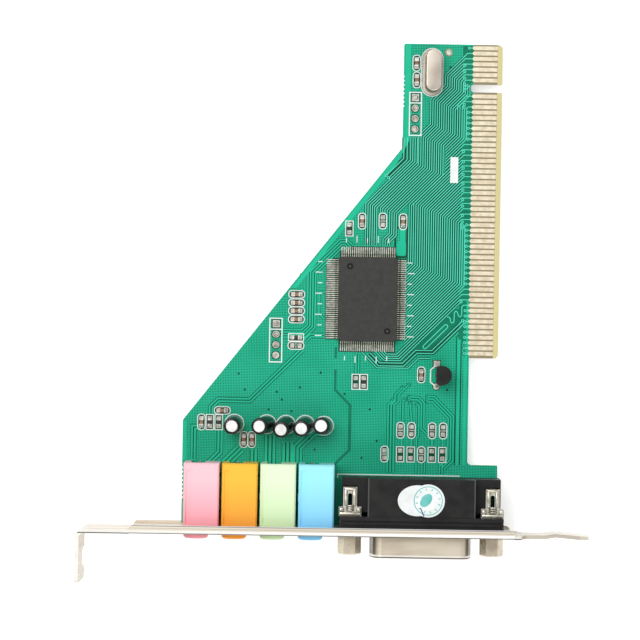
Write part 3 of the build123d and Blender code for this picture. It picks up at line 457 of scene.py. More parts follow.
CONTACT_EDGE = ((1, 0, TRACK_START_X),)
CHIP_SIDE = CONTACT_EDGE + ((-1, 0, 22.3),)
BLOCK_SIDE = CONTACT_EDGE + ((-1, 0, 13.2),)
bare_strips.shape(box_points((-9.4, 1.3), (-6.9, 9.9)))
bare_strips.shape(box_points((-9.4, -60.5), (-6.9, -1.4)))

# From the contacts above the key, past the crystal and down to the chip's far end
tracks([(-23.1, -11.9), (-23.1, -16.9), (-27.2, -21.0)], 2, 0.8, ends=(-1,))
tracks([(-21.5, -11.9), (-21.5, -17.2), (-31.9, -27.6), (-31.9, -37.6)], 4)
fall = [
    (-5.0, 11.6), (-13.5, 3.1), (-13.5, 0.7), (-16.9, -2.7), (-16.9, -8.6), (-19.6, -11.3), (-19.6, -18.3),
]
tracks(fall + [(-29.8, -28.5), (-29.8, -37.6)], 2, limits=CONTACT_EDGE)
for start, count, way_on, limits in (
    (2, 4, [(-18.54, -18.74), (-28.4, -28.6), (-28.4, -29.7)], CONTACT_EDGE),
    (6, 4, [(-16.42, -19.62), (-26.2, -29.4), (-26.2, -34.6), (-27.7, -36.1), (-27.7, -37.6)], CONTACT_EDGE),
    (10, 2, [(-14.3, -20.5), (-21.6, -27.8), (-21.6, -41.4), (-24.6, -44.4)], CHIP_SIDE),
):
    tracks(shifted(fall, start * TRACK_PITCH)[:-1] + way_on, count, limits=limits)

# From the contacts below the key, on both sides of the plain printed block
tracks([(-5.0, 1.6), (-10.5, -3.9), (-10.5, -11.25), (-16.5, -17.25)], 5, limits=BLOCK_SIDE)
tracks([(-5.0, -9.5), (-16.5, -21.0)], 3, 0.56, BLOCK_SIDE)
tracks([(-5.0, -12.0), (-20.54, -27.54), (-20.54, -41.84), (-26.6, -47.9)], 16, limits=CHIP_SIDE)
tracks([(-5.0, -24.0), (-12.06, -31.06), (-12.06, -45.36), (-26.6, -59.9)], 8, limits=CHIP_SIDE)

# From the last contacts to the chip's right side and round its corner, with the two lines of
# matched length, one that winds and one folded back on itself
tracks([(-5.0, -44.3), (-26.6, -65.9)], 4, 0.56, CHIP_SIDE)
MEANDER_ROW = contact_rows[46]
taken_rows.append(MEANDER_ROW)
meander = [
    (-12.2, -54.3), (-11.75, -54.3), (-11.45, -54.65), (-11.4, -55.3), (-11.15, -55.65), (-10.8, -55.65),
    (-10.55, -55.3), (-10.5, -53.3), (-10.25, -52.9), (-9.95, -52.9), (-9.7, -53.3), (-9.6, -53.8),
    (-9.35, -54.15), (-9.0, -54.15), (-8.75, -53.8), (-8.75, MEANDER_ROW - 0.4), (-8.35, MEANDER_ROW),
    (TRACK_START_X, MEANDER_ROW),
]
bare_strips.shape([
    (-12.0, -54.0), (-20.0, -62.0), (-15.9, -62.0), (-9.4, -55.5), (-8.3, -54.0), (-8.3, -52.3),
    (-10.3, -52.3),
])
copper_lines.line(meander, TRACK_WIDTH)
hairpin = [
    ((x - y) / 2 ** 0.5 - 14.9, (x + y) / 2 ** 0.5 - 59.0)
    for x, y in box_points((-3.9, -0.45), (3.9, 0.45), 0.45)
]
copper_lines.line(hairpin, TRACK_WIDTH, closed=True)
for number in range(4):
    near, level = 39.3 + 0.79 * number, -63.3 - 0.5 * number
    bend, tip = -26.4 - 0.2 * number, -27.0 - 0.7 * number
    tracks([(-22.0, -22.0 - near), (near + level, level), (bend, level), (tip, -62.7)])
round_corner = [(-8.5, -55.1), (-15.7, -62.3), (-19.5, -62.3), (-22.6, -65.4), (-28.0, -65.4), (-30.3, -63.1)]
tracks(round_corner, 2, 0.72, ends=(0,))
tracks([(-16.0, -64.2), (-18.8, -64.2), (-21.2, -66.6), (-28.6, -66.6), (-32.2, -63.0)])
for row in contact_rows:
    if row not in taken_rows:
        copper_lines.line([(TRACK_START_X, row), (TRACK_START_X - 0.9, row)], TRACK_WIDTH)
        via(TRACK_START_X - 0.9, row)


# Along the slope and round the chip's left side to the jacks. Here the copper fills the board, and
# each wide track shows by the thin etched line on either side of it.
def wide_tracks(points, count, pitch, width, ends=()):
    """A bundle of wide tracks in the ground copper."""
    tracks(points, count, pitch, (), width, ends, ground_lines)


for count, pitch, width, points in (
    (4, 0.6, 0.38, [
        (-34.8, -37.7), (-36.2, -36.3), (-37.9, -36.3), (-45.3, -43.7), (-45.3, -56.6), (-46.6, -57.9),
        (-51.2, -57.9),
    ]),
    (1, 0.6, 0.38, [(-41.3, -48.9), (-42.6, -48.9), (-42.6, -53.9), (-41.3, -55.2)]),
    (2, 0.6, 0.38, [(-41.3, -58.9), (-44.6, -58.9), (-45.9, -60.2)]),
    (2, 0.68, 0.42, [(-46.7, -62.4), (-58.75, -74.45), (-66.2, -74.45), (-68.1, -76.35), (-68.1, -78.4)]),
    (2, 0.72, 0.46, [(-70.1, -81.0), (-72.2, -81.0), (-72.2, -88.9)]),
    (2, 0.76, 0.5, [(-65.9, -82.0), (-65.9, -87.0), (-68.4, -89.5)]),
    (3, 0.85, 0.6, [(-61.2, -85.6), (-65.2, -89.6)]),
    (2, 0.9, 0.6, [(-57.9, -86.4), (-57.9, -89.8)]),
    (3, 0.95, 0.65, [(-54.6, -83.0), (-54.6, -89.8)]),
    (3, 0.95, 0.65, [(-50.4, -84.6), (-50.4, -89.8)]),
    (3, -0.8, 0.56, [(-40.4, -82.7), (-42.9, -82.7), (-46.3, -86.1), (-46.3, -89.8)]),
    (2, 0.62, 0.4, [(-33.6, -63.3), (-33.6, -68.2)]),
):
    wide_tracks(points, count, pitch, width)

# From the chip's near side to the game port
for count, points in (
    (3, [(-16.5, -73.2), (-14.9, -73.2), (-10.3, -77.8), (-10.3, -88.4), (-12.3, -90.4)]),
    (2, [(-20.9, -73.4), (-18.6, -73.4), (-17.3, -74.7), (-17.3, -80.6), (-16.2, -81.7)]),
    (1, [(-24.8, -74.3), (-25.8, -75.3), (-25.8, -91.4)]),
    (1, [(-22.5, -71.2), (-24.2, -72.9), (-24.2, -74.4), (-25.1, -75.3), (-25.1, -91.4)]),
    (1, [(-21.0, -70.5), (-23.3, -72.8), (-23.3, -74.3), (-24.4, -75.4), (-24.4, -91.4)]),
    (1, [(-21.9, -74.0), (-22.3, -74.4), (-22.3, -79.2)]),
    (1, [(-20.6, -74.9), (-20.2, -79.2)]),
    (1, [(-19.0, -75.1), (-18.5, -75.6), (-18.5, -82.6), (-19.0, -83.1), (-19.0, -91.4)]),
):
    wide_tracks(points, count, -0.62, 0.4, (0,))
for x in (-22.5, -20.2, -15.3, -12.8):
    wide_tracks([(x, -83.4), (x, -85.0)], 1, 0.7, 0.5)
for x in (-17.6, -13.4):
    wide_tracks([(x, -88.9), (x, -91.4)], 2, 0.62, 0.4)

# The strip between digital and audio ground has no copper at all, and neither has the chip's rim
bare_strips.line([(-38.45, -61.9), (-38.45, -64.5)], 0.62)
bare_strips.line([(-38.45, -67.2), (-38.45, -72.0), (-34.85, -75.6), (-34.85, -86.2), (-38.3, -89.65)], 0.62)
for low, high in (
    ((-41.1, -60.1), (-38.0, -40.7)), ((-24.2, -60.1), (-22.0, -40.7)),
    ((-37.8, -62.95), (-24.4, -60.2)), ((-37.8, -40.6), (-24.4, -37.9)),
):
    gaps.shape(box_points(low, high))

# Holes that stitch the ground copper of both faces together, filled with lacquer
for x, y in (
    (-41.95, -67.97), (-46.79, -71.56), (-52.3, -72.67), (-59.86, -72.22), (-51.06, -74.45), (-54.16, -76.89),
    (-48.69, -77.22), (-44.35, -83.65), (-43.07, -86.21), (-30.2, -76.5), (-28.4, -83.9), (-31.9, -88.0),
    (-11.9, -71.6), (-61.4, -68.5), (-36.2, -72.9), (-21.2, 0.6), (-12.4, 4.9),
):
    via_holes.shape(round_points(x, y, STITCH_HOLE, 10))
    via_places.append((x, y))

# Broad copper strips, where the ground runs unbroken: along the board's edges and to the chip
broad.shape([
    (-23.1, 10.1), (-23.1, -14.3), (-49.2, -48.0), (-48.0, -48.0), (-24.6, -18.0), (-21.75, -12.4),
    (-21.75, 10.1),
])
broad.shape(box_points((-23.55, -38.6), (-22.45, -33.5)))
broad.shape(box_points((-24.5, -40.0), (-22.2, -36.6), 0.8))
broad.line([(-73.9, -79.9), (-73.9, -89.2)], 0.8)
broad.line([(-7.35, -50.4), (-7.35, -62.9), (-7.7, -64.0), (-7.7, -89.4)], 0.5)
broad.line([(-9.3, -59.6), (-9.3, -89.4)], 0.8)
for line in ([(-8.2, -57.3), (-9.85, -58.95), (-9.85, -89.4)], [(-8.75, -59.6), (-8.75, -89.4)]):
    gaps.line(line, 0.24)
gaps.line(box_points((-24.75, -40.25), (-21.95, -33.3)), 0.5, closed=True)

etched = mottled(
    "etched_laminate", GAP_GREEN, scaled(GAP_GREEN, 1.3, 1.2, 1.25), 140, (0.3, 0.42), shine=LACQUER_SHINE
)
lacquered = mottled(
    "lacquered_copper", TRACK_GREEN, scaled(TRACK_GREEN, 1.3, 1.1, 1.12), 90, (0.22, 0.34), 0.05,
    shine=LACQUER_SHINE,
)
lacquered_pour = mottled(
    "lacquered_pour", LACQUER, scaled(LACQUER, 1.5, 1.08, 1.1), 60, (0.25, 0.36), 0.05, shine=LACQUER_SHINE
)
bare_green = mottled(
    "bare_lacquer", (0.0005, 0.18, 0.095), (0.001, 0.22, 0.12), 140, (0.3, 0.42), shine=LACQUER_SHINE
)
bare_strips.piece("bare_strips", bare_green, 0.01)
gaps.piece("track_gaps", etched, GAP_TOP - 0.002)
broad.piece("ground_strips", lacquered_pour, 0.02)
copper_lines.piece("fine_tracks", lacquered, 0.024)
ground_lines.piece("wide_tracks", lacquered_pour, 0.024)
via_holes.piece("via_holes", etched, 0.012)


# White print on the lacquer: the outline of each part's place, ticks that count the chip's leads,
# and one plain block. It is screen printed ink, a little rough and slightly worn at its edges.
INK_TOP = 0.062
INK_WIDTH = 0.2
FRAME_LONG = 3.75
FRAME_SHORT = 1.75
FRAME_CORNER = 0.75
CAPACITOR_PLACES = (
    (-20.4, 5.75, 90), (-20.3, 1.75, 90), (-32.7, -31.9, 90), (-23.0, -31.9, 90), (-47.9, -49.5, 0),
    (-47.9, -51.5, 0), (-47.9, -53.4, 0), (-47.9, -55.4, 0), (-18.1, -68.1, 90), (-70.0, -80.1, 90),
    (-65.1, -77.3, 0), (-59.9, -84.1, 90), (-58.0, -84.1, 90),
)
RESISTOR_PLACES = (
    (-35.7, -33.7, 90), (-47.9, -59.7, 0), (-31.7, -70.0, 90), (-68.0, -80.1, 90), (-65.9, -80.1, 90),
)
EMPTY_CAPACITORS = (
    (-27.8, -31.8, 90), (-47.9, -61.65, 0), (-22.8, -81.3, 90), (-20.2, -81.3, 90), (-15.3, -81.3, 90),
    (-12.7, -81.3, 90), (-26.5, -87.0, 90), (-17.8, -87.0, 90),
)
EMPTY_RESISTORS = (
    (-33.6, -70.0, 90), (-22.8, -87.0, 90), (-20.3, -87.0, 90), (-15.3, -87.0, 90), (-12.8, -87.0, 90),
)
CAPACITOR_FEET = ((-62.2, -80.4), (-54.5, -80.4), (-49.95, -80.45), (-45.4, -80.4), (-40.95, -80.55))
print_lines = Sheet(INK_TOP)


def block_points(x, y, half_x, half_y, corner=0.0, steps=4):
    """Points around a rectangle given by its centre and half its sides."""
    return box_points((x - half_x, y - half_y), (x + half_x, y + half_y), corner, steps)


def turned(sides, turn):
    """A pair of sides, the long one first, lying along X or standing along Y."""
    return sides[::-1] if turn else sides


for places, long_side, corner in (
    (CAPACITOR_PLACES + EMPTY_CAPACITORS, FRAME_LONG, FRAME_CORNER),
    (RESISTOR_PLACES + EMPTY_RESISTORS, FRAME_LONG - 0.2, 0.0),
):
    for x, y, turn in places:
        sides = turned((long_side / 2, FRAME_SHORT / 2), turn)
        print_lines.line(block_points(x, y, *sides, corner), INK_WIDTH, closed=True)

# Crystal, headers, electrolytic capacitors and transistor
print_lines.line(box_points((-19.2, -2.05), (-14.15, 9.3), 2.5, 8), INK_WIDTH, closed=True)
for low, high, bar_y in (((-21.9, -11.4), (-19.1, -1.2), -3.7), ((-54.15, -65.6), (-51.25, -55.25), -57.85)):
    print_lines.line(box_points(low, high), 0.26, closed=True)
    print_lines.line([(low[0], bar_y), (high[0], bar_y)], 0.24)
for x, y in CAPACITOR_FEET:
    print_lines.line(round_points(x, y, 2.25, 36), 0.22, closed=True)
print_lines.line([(-14.9, -66.0), (-15.9, -66.9), (-15.9, -69.8), (-14.9, -70.6)], 0.26)

# The plain block, the line behind the game port, and the ticks at every fifth lead of the chip
print_lines.shape(box_points((-12.0, -22.5), (-10.15, -16.4)))
print_lines.line([(-37.5, -92.9), (-37.5, -91.95), (-8.6, -91.95)], 0.22)
TICK_STEP = 2.5
SHORT_TICK, LONG_TICK = 0.95, 1.5
for step in range(8):
    tick = LONG_TICK if step % 2 else SHORT_TICK
    y = -41.65 - TICK_STEP * step
    print_lines.line([(-42.0 - tick, y), (-41.9, y)], INK_WIDTH)
    print_lines.line([(-21.7, y), (-21.6 + tick, y)], INK_WIDTH)
for step in range(5):
    tick = LONG_TICK if step % 2 else SHORT_TICK
    x = -36.35 + TICK_STEP * step
    print_lines.line([(x, -64.0 - tick), (x, -63.9)], INK_WIDTH)
    print_lines.line([(x, -37.0), (x, -36.9 + tick)], INK_WIDTH)
ink = mottled("white_ink", (0.82, 0.88, 0.86), (0.93, 0.95, 0.94), 900, (0.55, 0.7), 0.15)
print_lines.piece("white_print", ink, 0.018)


# Pads of bare copper under a dome of tin, where a part is soldered on or where its place is empty.
# The pads of a fitted part stick out past its ends, and the solder climbs up them.
PAD_TOP = 0.05
PAD_LENGTH = 1.0
PAD_WIDTH = 1.05
PAD_SPREAD = 0.88
HEADER_PITCH = 2.48
HEADERS = ((-20.57, -2.45), (-52.65, -56.55))
etched_frames = Sheet(GAP_TOP + 0.013)
pads = Sheet(PAD_TOP)
for x, y, turn in CAPACITOR_PLACES + EMPTY_CAPACITORS + RESISTOR_PLACES + EMPTY_RESISTORS:
    half_pad = turned((PAD_LENGTH / 2, PAD_WIDTH / 2), turn)
    half_gap = turned((FRAME_LONG / 2 - 0.12, FRAME_SHORT / 2 - 0.1), turn)
    for side in (-PAD_SPREAD, PAD_SPREAD):
        along, across = turned((side, 0), turn)
        pads.shape(block_points(x + along, y + across, *half_pad, 0.12, 2))
    etched_frames.shape(block_points(x, y, *half_gap, 0.3, 3))
for x, y, turn in EMPTY_CAPACITORS:
    pads.shape(block_points(x, y, *turned((0.13, 0.62), turn), 0.05, 2))

# The pads of the headers: the first of each row square, the rest round, each in an etched ring
for x, y in HEADERS:
    etched_frames.shape(block_points(x, y, 1.06, 1.06))
    pads.shape(block_points(x, y, 0.84, 0.84))
    for number in range(1, 4):
        etched_frames.shape(round_points(x, y - HEADER_PITCH * number, 1.08, 24))
        pads.shape(round_points(x, y - HEADER_PITCH * number, 0.84, 24))

# The transistor's two pads that show, and those of the electrolytic capacitors
etched_frames.shape(box_points((-15.4, -66.35), (-13.5, -64.5), 0.1))
pads.shape(box_points((-15.2, -66.15), (-13.7, -64.7), 0.1))
etched_frames.shape(round_points(-14.48, -70.8, 0.95, 24))
pads.shape(round_points(-14.48, -70.8, 0.76, 24))
CAPACITOR_LEG = 0.75
for x, y in CAPACITOR_FEET:
    for side in (-CAPACITOR_LEG, CAPACITOR_LEG):
        pads.shape(round_points(x + side, y, 0.55, 16))

# Pads of the chip's leads, with a fillet of solder showing past each tip
CHIP_X, CHIP_Y, LEAD_PITCH = -31.1, -50.4, 0.5
LEAD_PAD_HALF = 0.13
for number in range(38):
    y = CHIP_Y + (number - 18.5) * LEAD_PITCH
    for inner, outer in ((-9.85, -7.9), (7.9, 9.05)):
        pads.shape(box_points((CHIP_X + inner, y - LEAD_PAD_HALF), (CHIP_X + outer, y + LEAD_PAD_HALF)))
for number in range(26):
    x = CHIP_X + (number - 12.5) * LEAD_PITCH
    for inner, outer in ((-12.35, -10.9), (10.9, 12.35)):
        pads.shape(box_points((x - LEAD_PAD_HALF, CHIP_Y + inner), (x + LEAD_PAD_HALF, CHIP_Y + outer)))
etched_frames.piece("pad_gaps", etched, 0.01)
tin = mottled("hot_tin", (0.42, 0.42, 0.37), (0.66, 0.66, 0.60), 1100, (0.25, 0.4), 0.2, metal=0.5)
pads.piece("tinned_pads", tin, 0.03)


# Ends of the gold contacts. Each contact runs on under the edge of the lacquer with a round end,
# where its track begins. The contacts themselves are thin gold over nickel on the copper.
CONTACT_HALF = 0.45
CONTACT_INNER_X = -6.6
CONTACT_OVERLAP = 0.12
BOARD_BOTTOM = -1.57
gold = mottled("gold_flash", (0.72, 0.61, 0.42), (0.88, 0.80, 0.62), 700, (0.34, 0.5), 0.15, metal=0.3)
finish_node("edge_contacts", gold)
for face, name, base in ((1, "upper", 0.0), (-1, "lower", BOARD_BOTTOM)):
    contact_ends = Sheet(0.038, face)
    for y in contact_rows:
        outline = [(CONTACT_INNER_X, y - CONTACT_HALF), (CONTACT_INNER_X, y + CONTACT_HALF)]
        for i in range(9):
            back, side = CONTACT_HALF * sin(pi * i / 8), CONTACT_HALF * cos(pi * i / 8)
            outline.append((CONTACT_INNER_X - CONTACT_OVERLAP - back, y + side))
        contact_ends.shape(outline)
    contact_ends.piece(name + "_contact_ends", gold, 0.036, base)


# Slot bracket. One strip of steel, pierced, folded and then nickel plated, satin along its length.
# Along the top of its lip run a painted highlight, a darker streak and thin lines of painted shade.
LIP_FRONT_Y = -105.85
LIP_BACK_Y = -103.75
LIP_TOP_Z = 13.45
PLATE_METAL = 0.4
LIP_PAINTED_LIGHT = (
    (0.015, (1.0, 0.96, 0.88, 1)), (0.02, (0.02, 0.02, 0.02, 0)), (0.10, (0.02, 0.02, 0.02, 0)),
    (0.15, (1.0, 1.0, 0.95, 1)), (0.38, (0.92, 0.86, 0.77, 1)), (0.60, (0.80, 0.72, 0.60, 1)),
    (0.66, (0.52, 0.43, 0.32, 1)), (0.72, (0.84, 0.77, 0.66, 1)), (0.86, (0.80, 0.72, 0.60, 1)),
    (0.90, (0.04, 0.03, 0.02, 0)),
)
bracket_plate = mottled(
    "bracket_nickel", (0.60, 0.54, 0.44), (0.86, 0.80, 0.69), 420, (0.24, 0.4), 0.1, PLATE_METAL,
    stretch=(0.04, 1, 1), shine=0.15,
)
tree, shader, plain = inside(bracket_plate)
at = place_axes(tree)
# Painted light on the lip, front to back: a line of painted shade at the fold, a painted highlight, a darker
# streak, and painted shade at the back edge.
depth = {"Value": at["Y"], "From Min": LIP_FRONT_Y * MM, "From Max": LIP_BACK_Y * MM}
lip_painted_light = node(tree, "ShaderNodeValToRGB", {"Fac": node(tree, "ShaderNodeMapRange", depth).outputs[0]})
for position, tone in LIP_PAINTED_LIGHT:
    lip_painted_light.color_ramp.elements.new(position).color = tone
lip_painted_light.color_ramp.elements.remove(lip_painted_light.color_ramp.elements[0])
on_lip = past(at["Z"], LIP_TOP_Z * MM, 0.05 * MM)
tree.links.new(over(on_lip, plain, lip_painted_light.outputs["Color"]), shader.inputs["Base Color"])
lip_metal = maths("MULTIPLY", lip_painted_light.outputs["Alpha"], PLATE_METAL)
share = {"Factor": on_lip, "A": PLATE_METAL, "B": lip_metal}
share = node(tree, "ShaderNodeMix", share, data_type="FLOAT").outputs[0]
tree.links.new(share, shader.inputs["Metallic"])
finish_node("bracket", bracket_plate)


# Audio jacks. Each block is moulded in the colour of its signal, darkened by painted shade towards
# the bracket, with tinned spring contacts in its open sides and back.
# Each pair is the painted shaded colour at the bracket end, then the block's own colour.
JACK_COLOURS = {
    "pink": ((1.0, 0.34, 0.40), (1.0, 0.60, 0.67)),
    "orange": ((0.96, 0.33, 0.014), (0.98, 0.55, 0.035)),
    "green": ((0.62, 0.82, 0.45), (0.82, 1.0, 0.68)),
    "blue": ((0.22, 0.62, 1.0), (0.36, 0.90, 1.0)),
}
SHADED_END_Y, LIT_END_Y = -105, -93
tinned = mottled("tinned_strip", (0.46, 0.42, 0.35), (0.66, 0.62, 0.53), 500, (0.25, 0.4), 0.1, metal=0.7)
for colour_name, (shaded, light) in JACK_COLOURS.items():
    plastic = mottled(colour_name + "_moulding", light, light, 120, (0.38, 0.5), 0.12)
    tree, shader, _ = inside(plastic)
    # Painted shade: the colour darkens from the back of each block towards the bracket.
    out_of_shade = {"Value": place_axes(tree)["Y"], "From Min": SHADED_END_Y * MM, "From Max": LIT_END_Y * MM}
    out_of_shade = node(tree, "ShaderNodeMapRange", out_of_shade).outputs[0]
    tree.links.new(over(out_of_shade, shaded, light), shader.inputs["Base Color"])
    finish_node(colour_name + "_jack", plastic)
    finish_node(colour_name + "_jack_contacts", tinned)


# Game port. A pressed nickel shell and flange on a black moulded body, whose pins turn down into
# the board. Two hex posts clamp it to the bracket, and two forked clips lock it to the board.
# The group below paints light and shade: it gives a surface another colour where it tilts away from level.
painted_tilt_light, given, result = new_group(
    "painted_tilt_light",
    (("Level Colour", "Color"), ("Tilted Colour", "Color"), ("Level Over", "Float"), ("Softness", "Float")),
    (("Color", "Color"),),
)
level = {
    "Value": facing_axes(painted_tilt_light)["Z"],
    "From Min": maths("SUBTRACT", given["Level Over"], given["Softness"]),
    "From Max": maths("ADD", given["Level Over"], given["Softness"]),
}
level = node(painted_tilt_light, "ShaderNodeMapRange", level).outputs[0]
painted_tilt_light.links.new(over(level, given["Tilted Colour"], given["Level Colour"]), result["Color"])


def paint_tilt_light(material, *steps):
    """Paints light and shade into a material's colour by how level its surface is, in steps of colour, limit
    and softness.
    """
    tree, shader, colour = inside(material)
    for tone, limit, softness in steps:
        given = {"Level Colour": colour, "Tilted Colour": tone, "Level Over": limit, "Softness": softness}
        colour = node(tree, "ShaderNodeGroup", given, node_tree=painted_tilt_light).outputs["Color"]
    tree.links.new(colour, shader.inputs["Base Color"])


black_plastic, body_plastic = (
    mottled(name, (0.009, 0.009, 0.009), (0.018, 0.018, 0.017), 300, (0.4, 0.55), 0.25, shine=0.25)
    for name in ("black_moulding", "body_moulding")
)
# Painted highlight: the body's sloping faces turn grey, and its steepest sides go back to black.
paint_tilt_light(body_plastic, ((0.10, 0.10, 0.095), 0.9, 0.05), ((0.014, 0.014, 0.014), 0.3, 0.05))
finish_node("port_body", body_plastic)
finish_node("port_insulator", black_plastic)
shell_plate = mottled(
    "shell_nickel", (0.58, 0.50, 0.38), (0.74, 0.66, 0.53), 300, (0.26, 0.4), 0.1, 0.4, (0.2, 1, 1)
)
tree, shader, colour = inside(shell_plate)
shell_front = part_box("port_shell")[0][1]
# Painted shade darkens the shell's sides that face left and right; at the front a thin line of painted shade
# runs along the rim, with a band of painted highlight behind it.
to_side = maths("ABSOLUTE", facing_axes(tree)["X"])
back = place_axes(tree)["Y"]
colour = over(past(to_side, 0.62, 0.12), colour, (0.16, 0.14, 0.10))
colour = over(past(back, shell_front + 0.7 * MM, 0.1 * MM), (0.95, 0.92, 0.84), colour)
colour = over(past(back, shell_front + 0.3 * MM, 0.05 * MM), (0.14, 0.12, 0.09), colour)
tree.links.new(colour, shader.inputs["Base Color"])
finish_node("port_shell", shell_plate)
finish_node("port_pins", tinned)
post_plate = mottled("post_nickel", (0.55, 0.47, 0.35), (0.76, 0.68, 0.54), 260, (0.2, 0.32), 0.08, metal=0.5)
clip_plate = mottled("clip_tin", (0.66, 0.61, 0.48), (0.96, 0.93, 0.83), 380, (0.18, 0.3), 0.1, metal=0.5)
for side in ("left", "right"):
    finish_node(side + "_hex_post", post_plate)
    finish_node(side + "_board_lock", clip_plate)


# Prongs of the board clips. Each is a springy strip, rolled round at its edges, with a loop at the
# tip, a turned-up foot, and the last turns of the post's thread showing between its sides.
PORT_X = -17.9
POST_OFFSET = 16.66
CLIP_TOP = 9.7
SMOOTH_ANGLE = radians(50)


def joined(parts):
    """Joins some objects into the first of them."""
    select_only(parts[0])
    for part in parts:
        part.select_set(True)
    bpy.ops.object.join()
    return bpy.context.object


def copied(pattern, name):
    """A copy of an object, with a mesh of its own."""
    made = pattern.copy()
    made.data = pattern.data.copy()
    made.name = name
    bpy.context.collection.objects.link(made)
    return made


def rolled_bar(centre, size, rounding):
    """A block with rounded edges."""
    bpy.ops.object.select_all(action="DESELECT")
    bpy.ops.mesh.primitive_cube_add(size=1, location=(0, 0, 0))
    made = bpy.context.object
    bpy.ops.object.mode_set(mode="EDIT")
    bpy.ops.transform.resize(value=tuple(side * MM for side in size))
    bpy.ops.mesh.bevel(offset=rounding * MM, segments=3, affect="EDGES")
    bpy.ops.transform.translate(value=tuple(side * MM for side in centre))
    bpy.ops.object.mode_set(mode="OBJECT")
    return made


clip_parts = [rolled_bar((way * 1.0, -96.75, CLIP_TOP + 0.25), (0.78, 3.9, 0.7), 0.25) for way in (-1, 1)]
clip_parts.append(rolled_bar((0, -94.8, CLIP_TOP + 0.3), (2.9, 0.75, 0.8), 0.3))
clip_parts.append(rolled_bar((0, -100.65, CLIP_TOP + 0.2), (5.2, 0.9, 0.8), 0.3))
clip_parts += [rolled_bar((way * 2.05, -99.75, CLIP_TOP + 0.3), (1.1, 1.2, 0.9), 0.35) for way in (-1, 1)]
for turn in range(3):
    bpy.ops.object.select_all(action="DESELECT")
    bpy.ops.mesh.primitive_torus_add(
        major_segments=24, minor_segments=8, major_radius=0.78 * MM, minor_radius=0.2 * MM, location=(0, 0, 0)
    )
    bpy.ops.object.mode_set(mode="EDIT")
    bpy.ops.transform.rotate(value=radians(90), orient_axis="X", center_override=(0, 0, 0))
    bpy.ops.transform.translate(value=(0, (-99.75 + 0.5 * turn) * MM, (CLIP_TOP + 0.1) * MM))
    bpy.ops.object.mode_set(mode="OBJECT")
    clip_parts.append(bpy.context.object)
left_prongs = joined(clip_parts)
bpy.ops.object.shade_smooth_by_angle(angle=SMOOTH_ANGLE)
left_prongs.name = "left_lock_prongs"
right_prongs = copied(left_prongs, "right_lock_prongs")
prong_plate = mottled("prong_tin", (0.58, 0.53, 0.41), (0.95, 0.92, 0.82), 900, (0.16, 0.26), 0.1, metal=0.6)
# Painted shade darkens the prongs' steep sides.
paint_tilt_light(prong_plate, ((0.10, 0.09, 0.05), 0.62, 0.12))
for made, x in ((left_prongs, PORT_X - POST_OFFSET), (right_prongs, PORT_X + POST_OFFSET)):
    select_only(made)
    bpy.ops.object.mode_set(mode="EDIT")
    bpy.ops.mesh.select_all(action="SELECT")
    bpy.ops.transform.translate(value=(x * MM, 0, 0))
    bpy.ops.object.mode_set(mode="OBJECT")
    made.data.materials.clear()
    made.data.materials.append(prong_plate)
    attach(made, "root")


# Sound chip. A flat pack moulded in black epoxy, matt all over, with two round ejector marks that
# carry painted shade and a small painted highlight, on 128 gull-wing leads of tinned strip that are soldered
# flat to their pads.
CHIP_TOP = 2.87
MARK_RADIUS = 0.78
MARK_GLINT_RADIUS = 0.17
chip_epoxy = mottled(
    "chip_epoxy", (0.036, 0.036, 0.033), (0.048, 0.048, 0.044), 900, (0.5, 0.62), 0.3, shine=0.25
)
tree, shader, colour = inside(chip_epoxy)
place = node(tree, "ShaderNodeTexCoord").outputs["Object"]
# Painted shade darkens each ejector mark's hollow, and a painted highlight lightens its middle.
for x, y in ((-35.4, -42.7), (-26.4, -57.9)):
    mark = (x * MM, y * MM, CHIP_TOP * MM)
    reach = node(tree, "ShaderNodeVectorMath", {0: place, 1: mark}, operation="DISTANCE").outputs["Value"]
    colour = over(past(reach, MARK_RADIUS * MM, 0.06 * MM), (0.009, 0.009, 0.008), colour)
    colour = over(past(reach, MARK_GLINT_RADIUS * MM, 0.08 * MM), (0.16, 0.16, 0.14), colour)
tree.links.new(colour, shader.inputs["Base Color"])
finish_node("chip_body", chip_epoxy)
lead_tin = mottled("lead_tin", (0.42, 0.39, 0.33), (0.70, 0.67, 0.59), 500, (0.28, 0.42), 0.1, metal=0.6)
finish_node("chip_leads", lead_tin)


# Crystal. A can drawn from thin steel, with a rounded top edge, stands on a flanged base that is
# welded all round, and leans a little to one side. Its two leads go through the board.
CRYSTAL = (-16.7, 3.65)
CRYSTAL_LEAN = 2.5
FLANGE_THICKNESS = 0.45
FLANGE_LIFT = 0.1
CAN_LENGTH, CAN_WIDTH, CAN_HEIGHT = 9.75, 3.5, 3.2
CAN_ROUNDING = 0.28
CAN_TOP_SHIFT = (0.16, 0.26)
crystal_steel = mottled(
    "crystal_steel", (0.54, 0.46, 0.38), (0.68, 0.61, 0.52), 200, (0.3, 0.42), 0.08, metal=0.55
)
# Painted highlight turns the can's rounded top edge near white, and painted shade darkens the steep walls of
# the can and its base.
paint_tilt_light(crystal_steel, ((0.97, 0.94, 0.86), 0.9, 0.05), ((0.20, 0.16, 0.11), 0.5, 0.15))
for name in ("crystal_base", "crystal_can"):
    finish_node(name, crystal_steel)
finish_node("crystal_leads", tinned)
bpy.ops.object.select_all(action="DESELECT")
bpy.ops.mesh.primitive_circle_add(vertices=50, radius=CAN_WIDTH / 2 * MM, fill_type="NGON")
crystal_shell = bpy.context.object
crystal_shell.name = "crystal_shell"
bpy.ops.object.mode_set(mode="EDIT")


def select_points(made, test):
    """Selects the mesh's points that pass a test of their place, in edit mode."""
    bpy.ops.mesh.select_mode(type="VERT")
    bpy.ops.mesh.select_all(action="DESELECT")
    bpy.ops.object.mode_set(mode="OBJECT")
    for point in made.data.vertices:
        point.select = test(point.co)
    bpy.ops.object.mode_set(mode="EDIT")


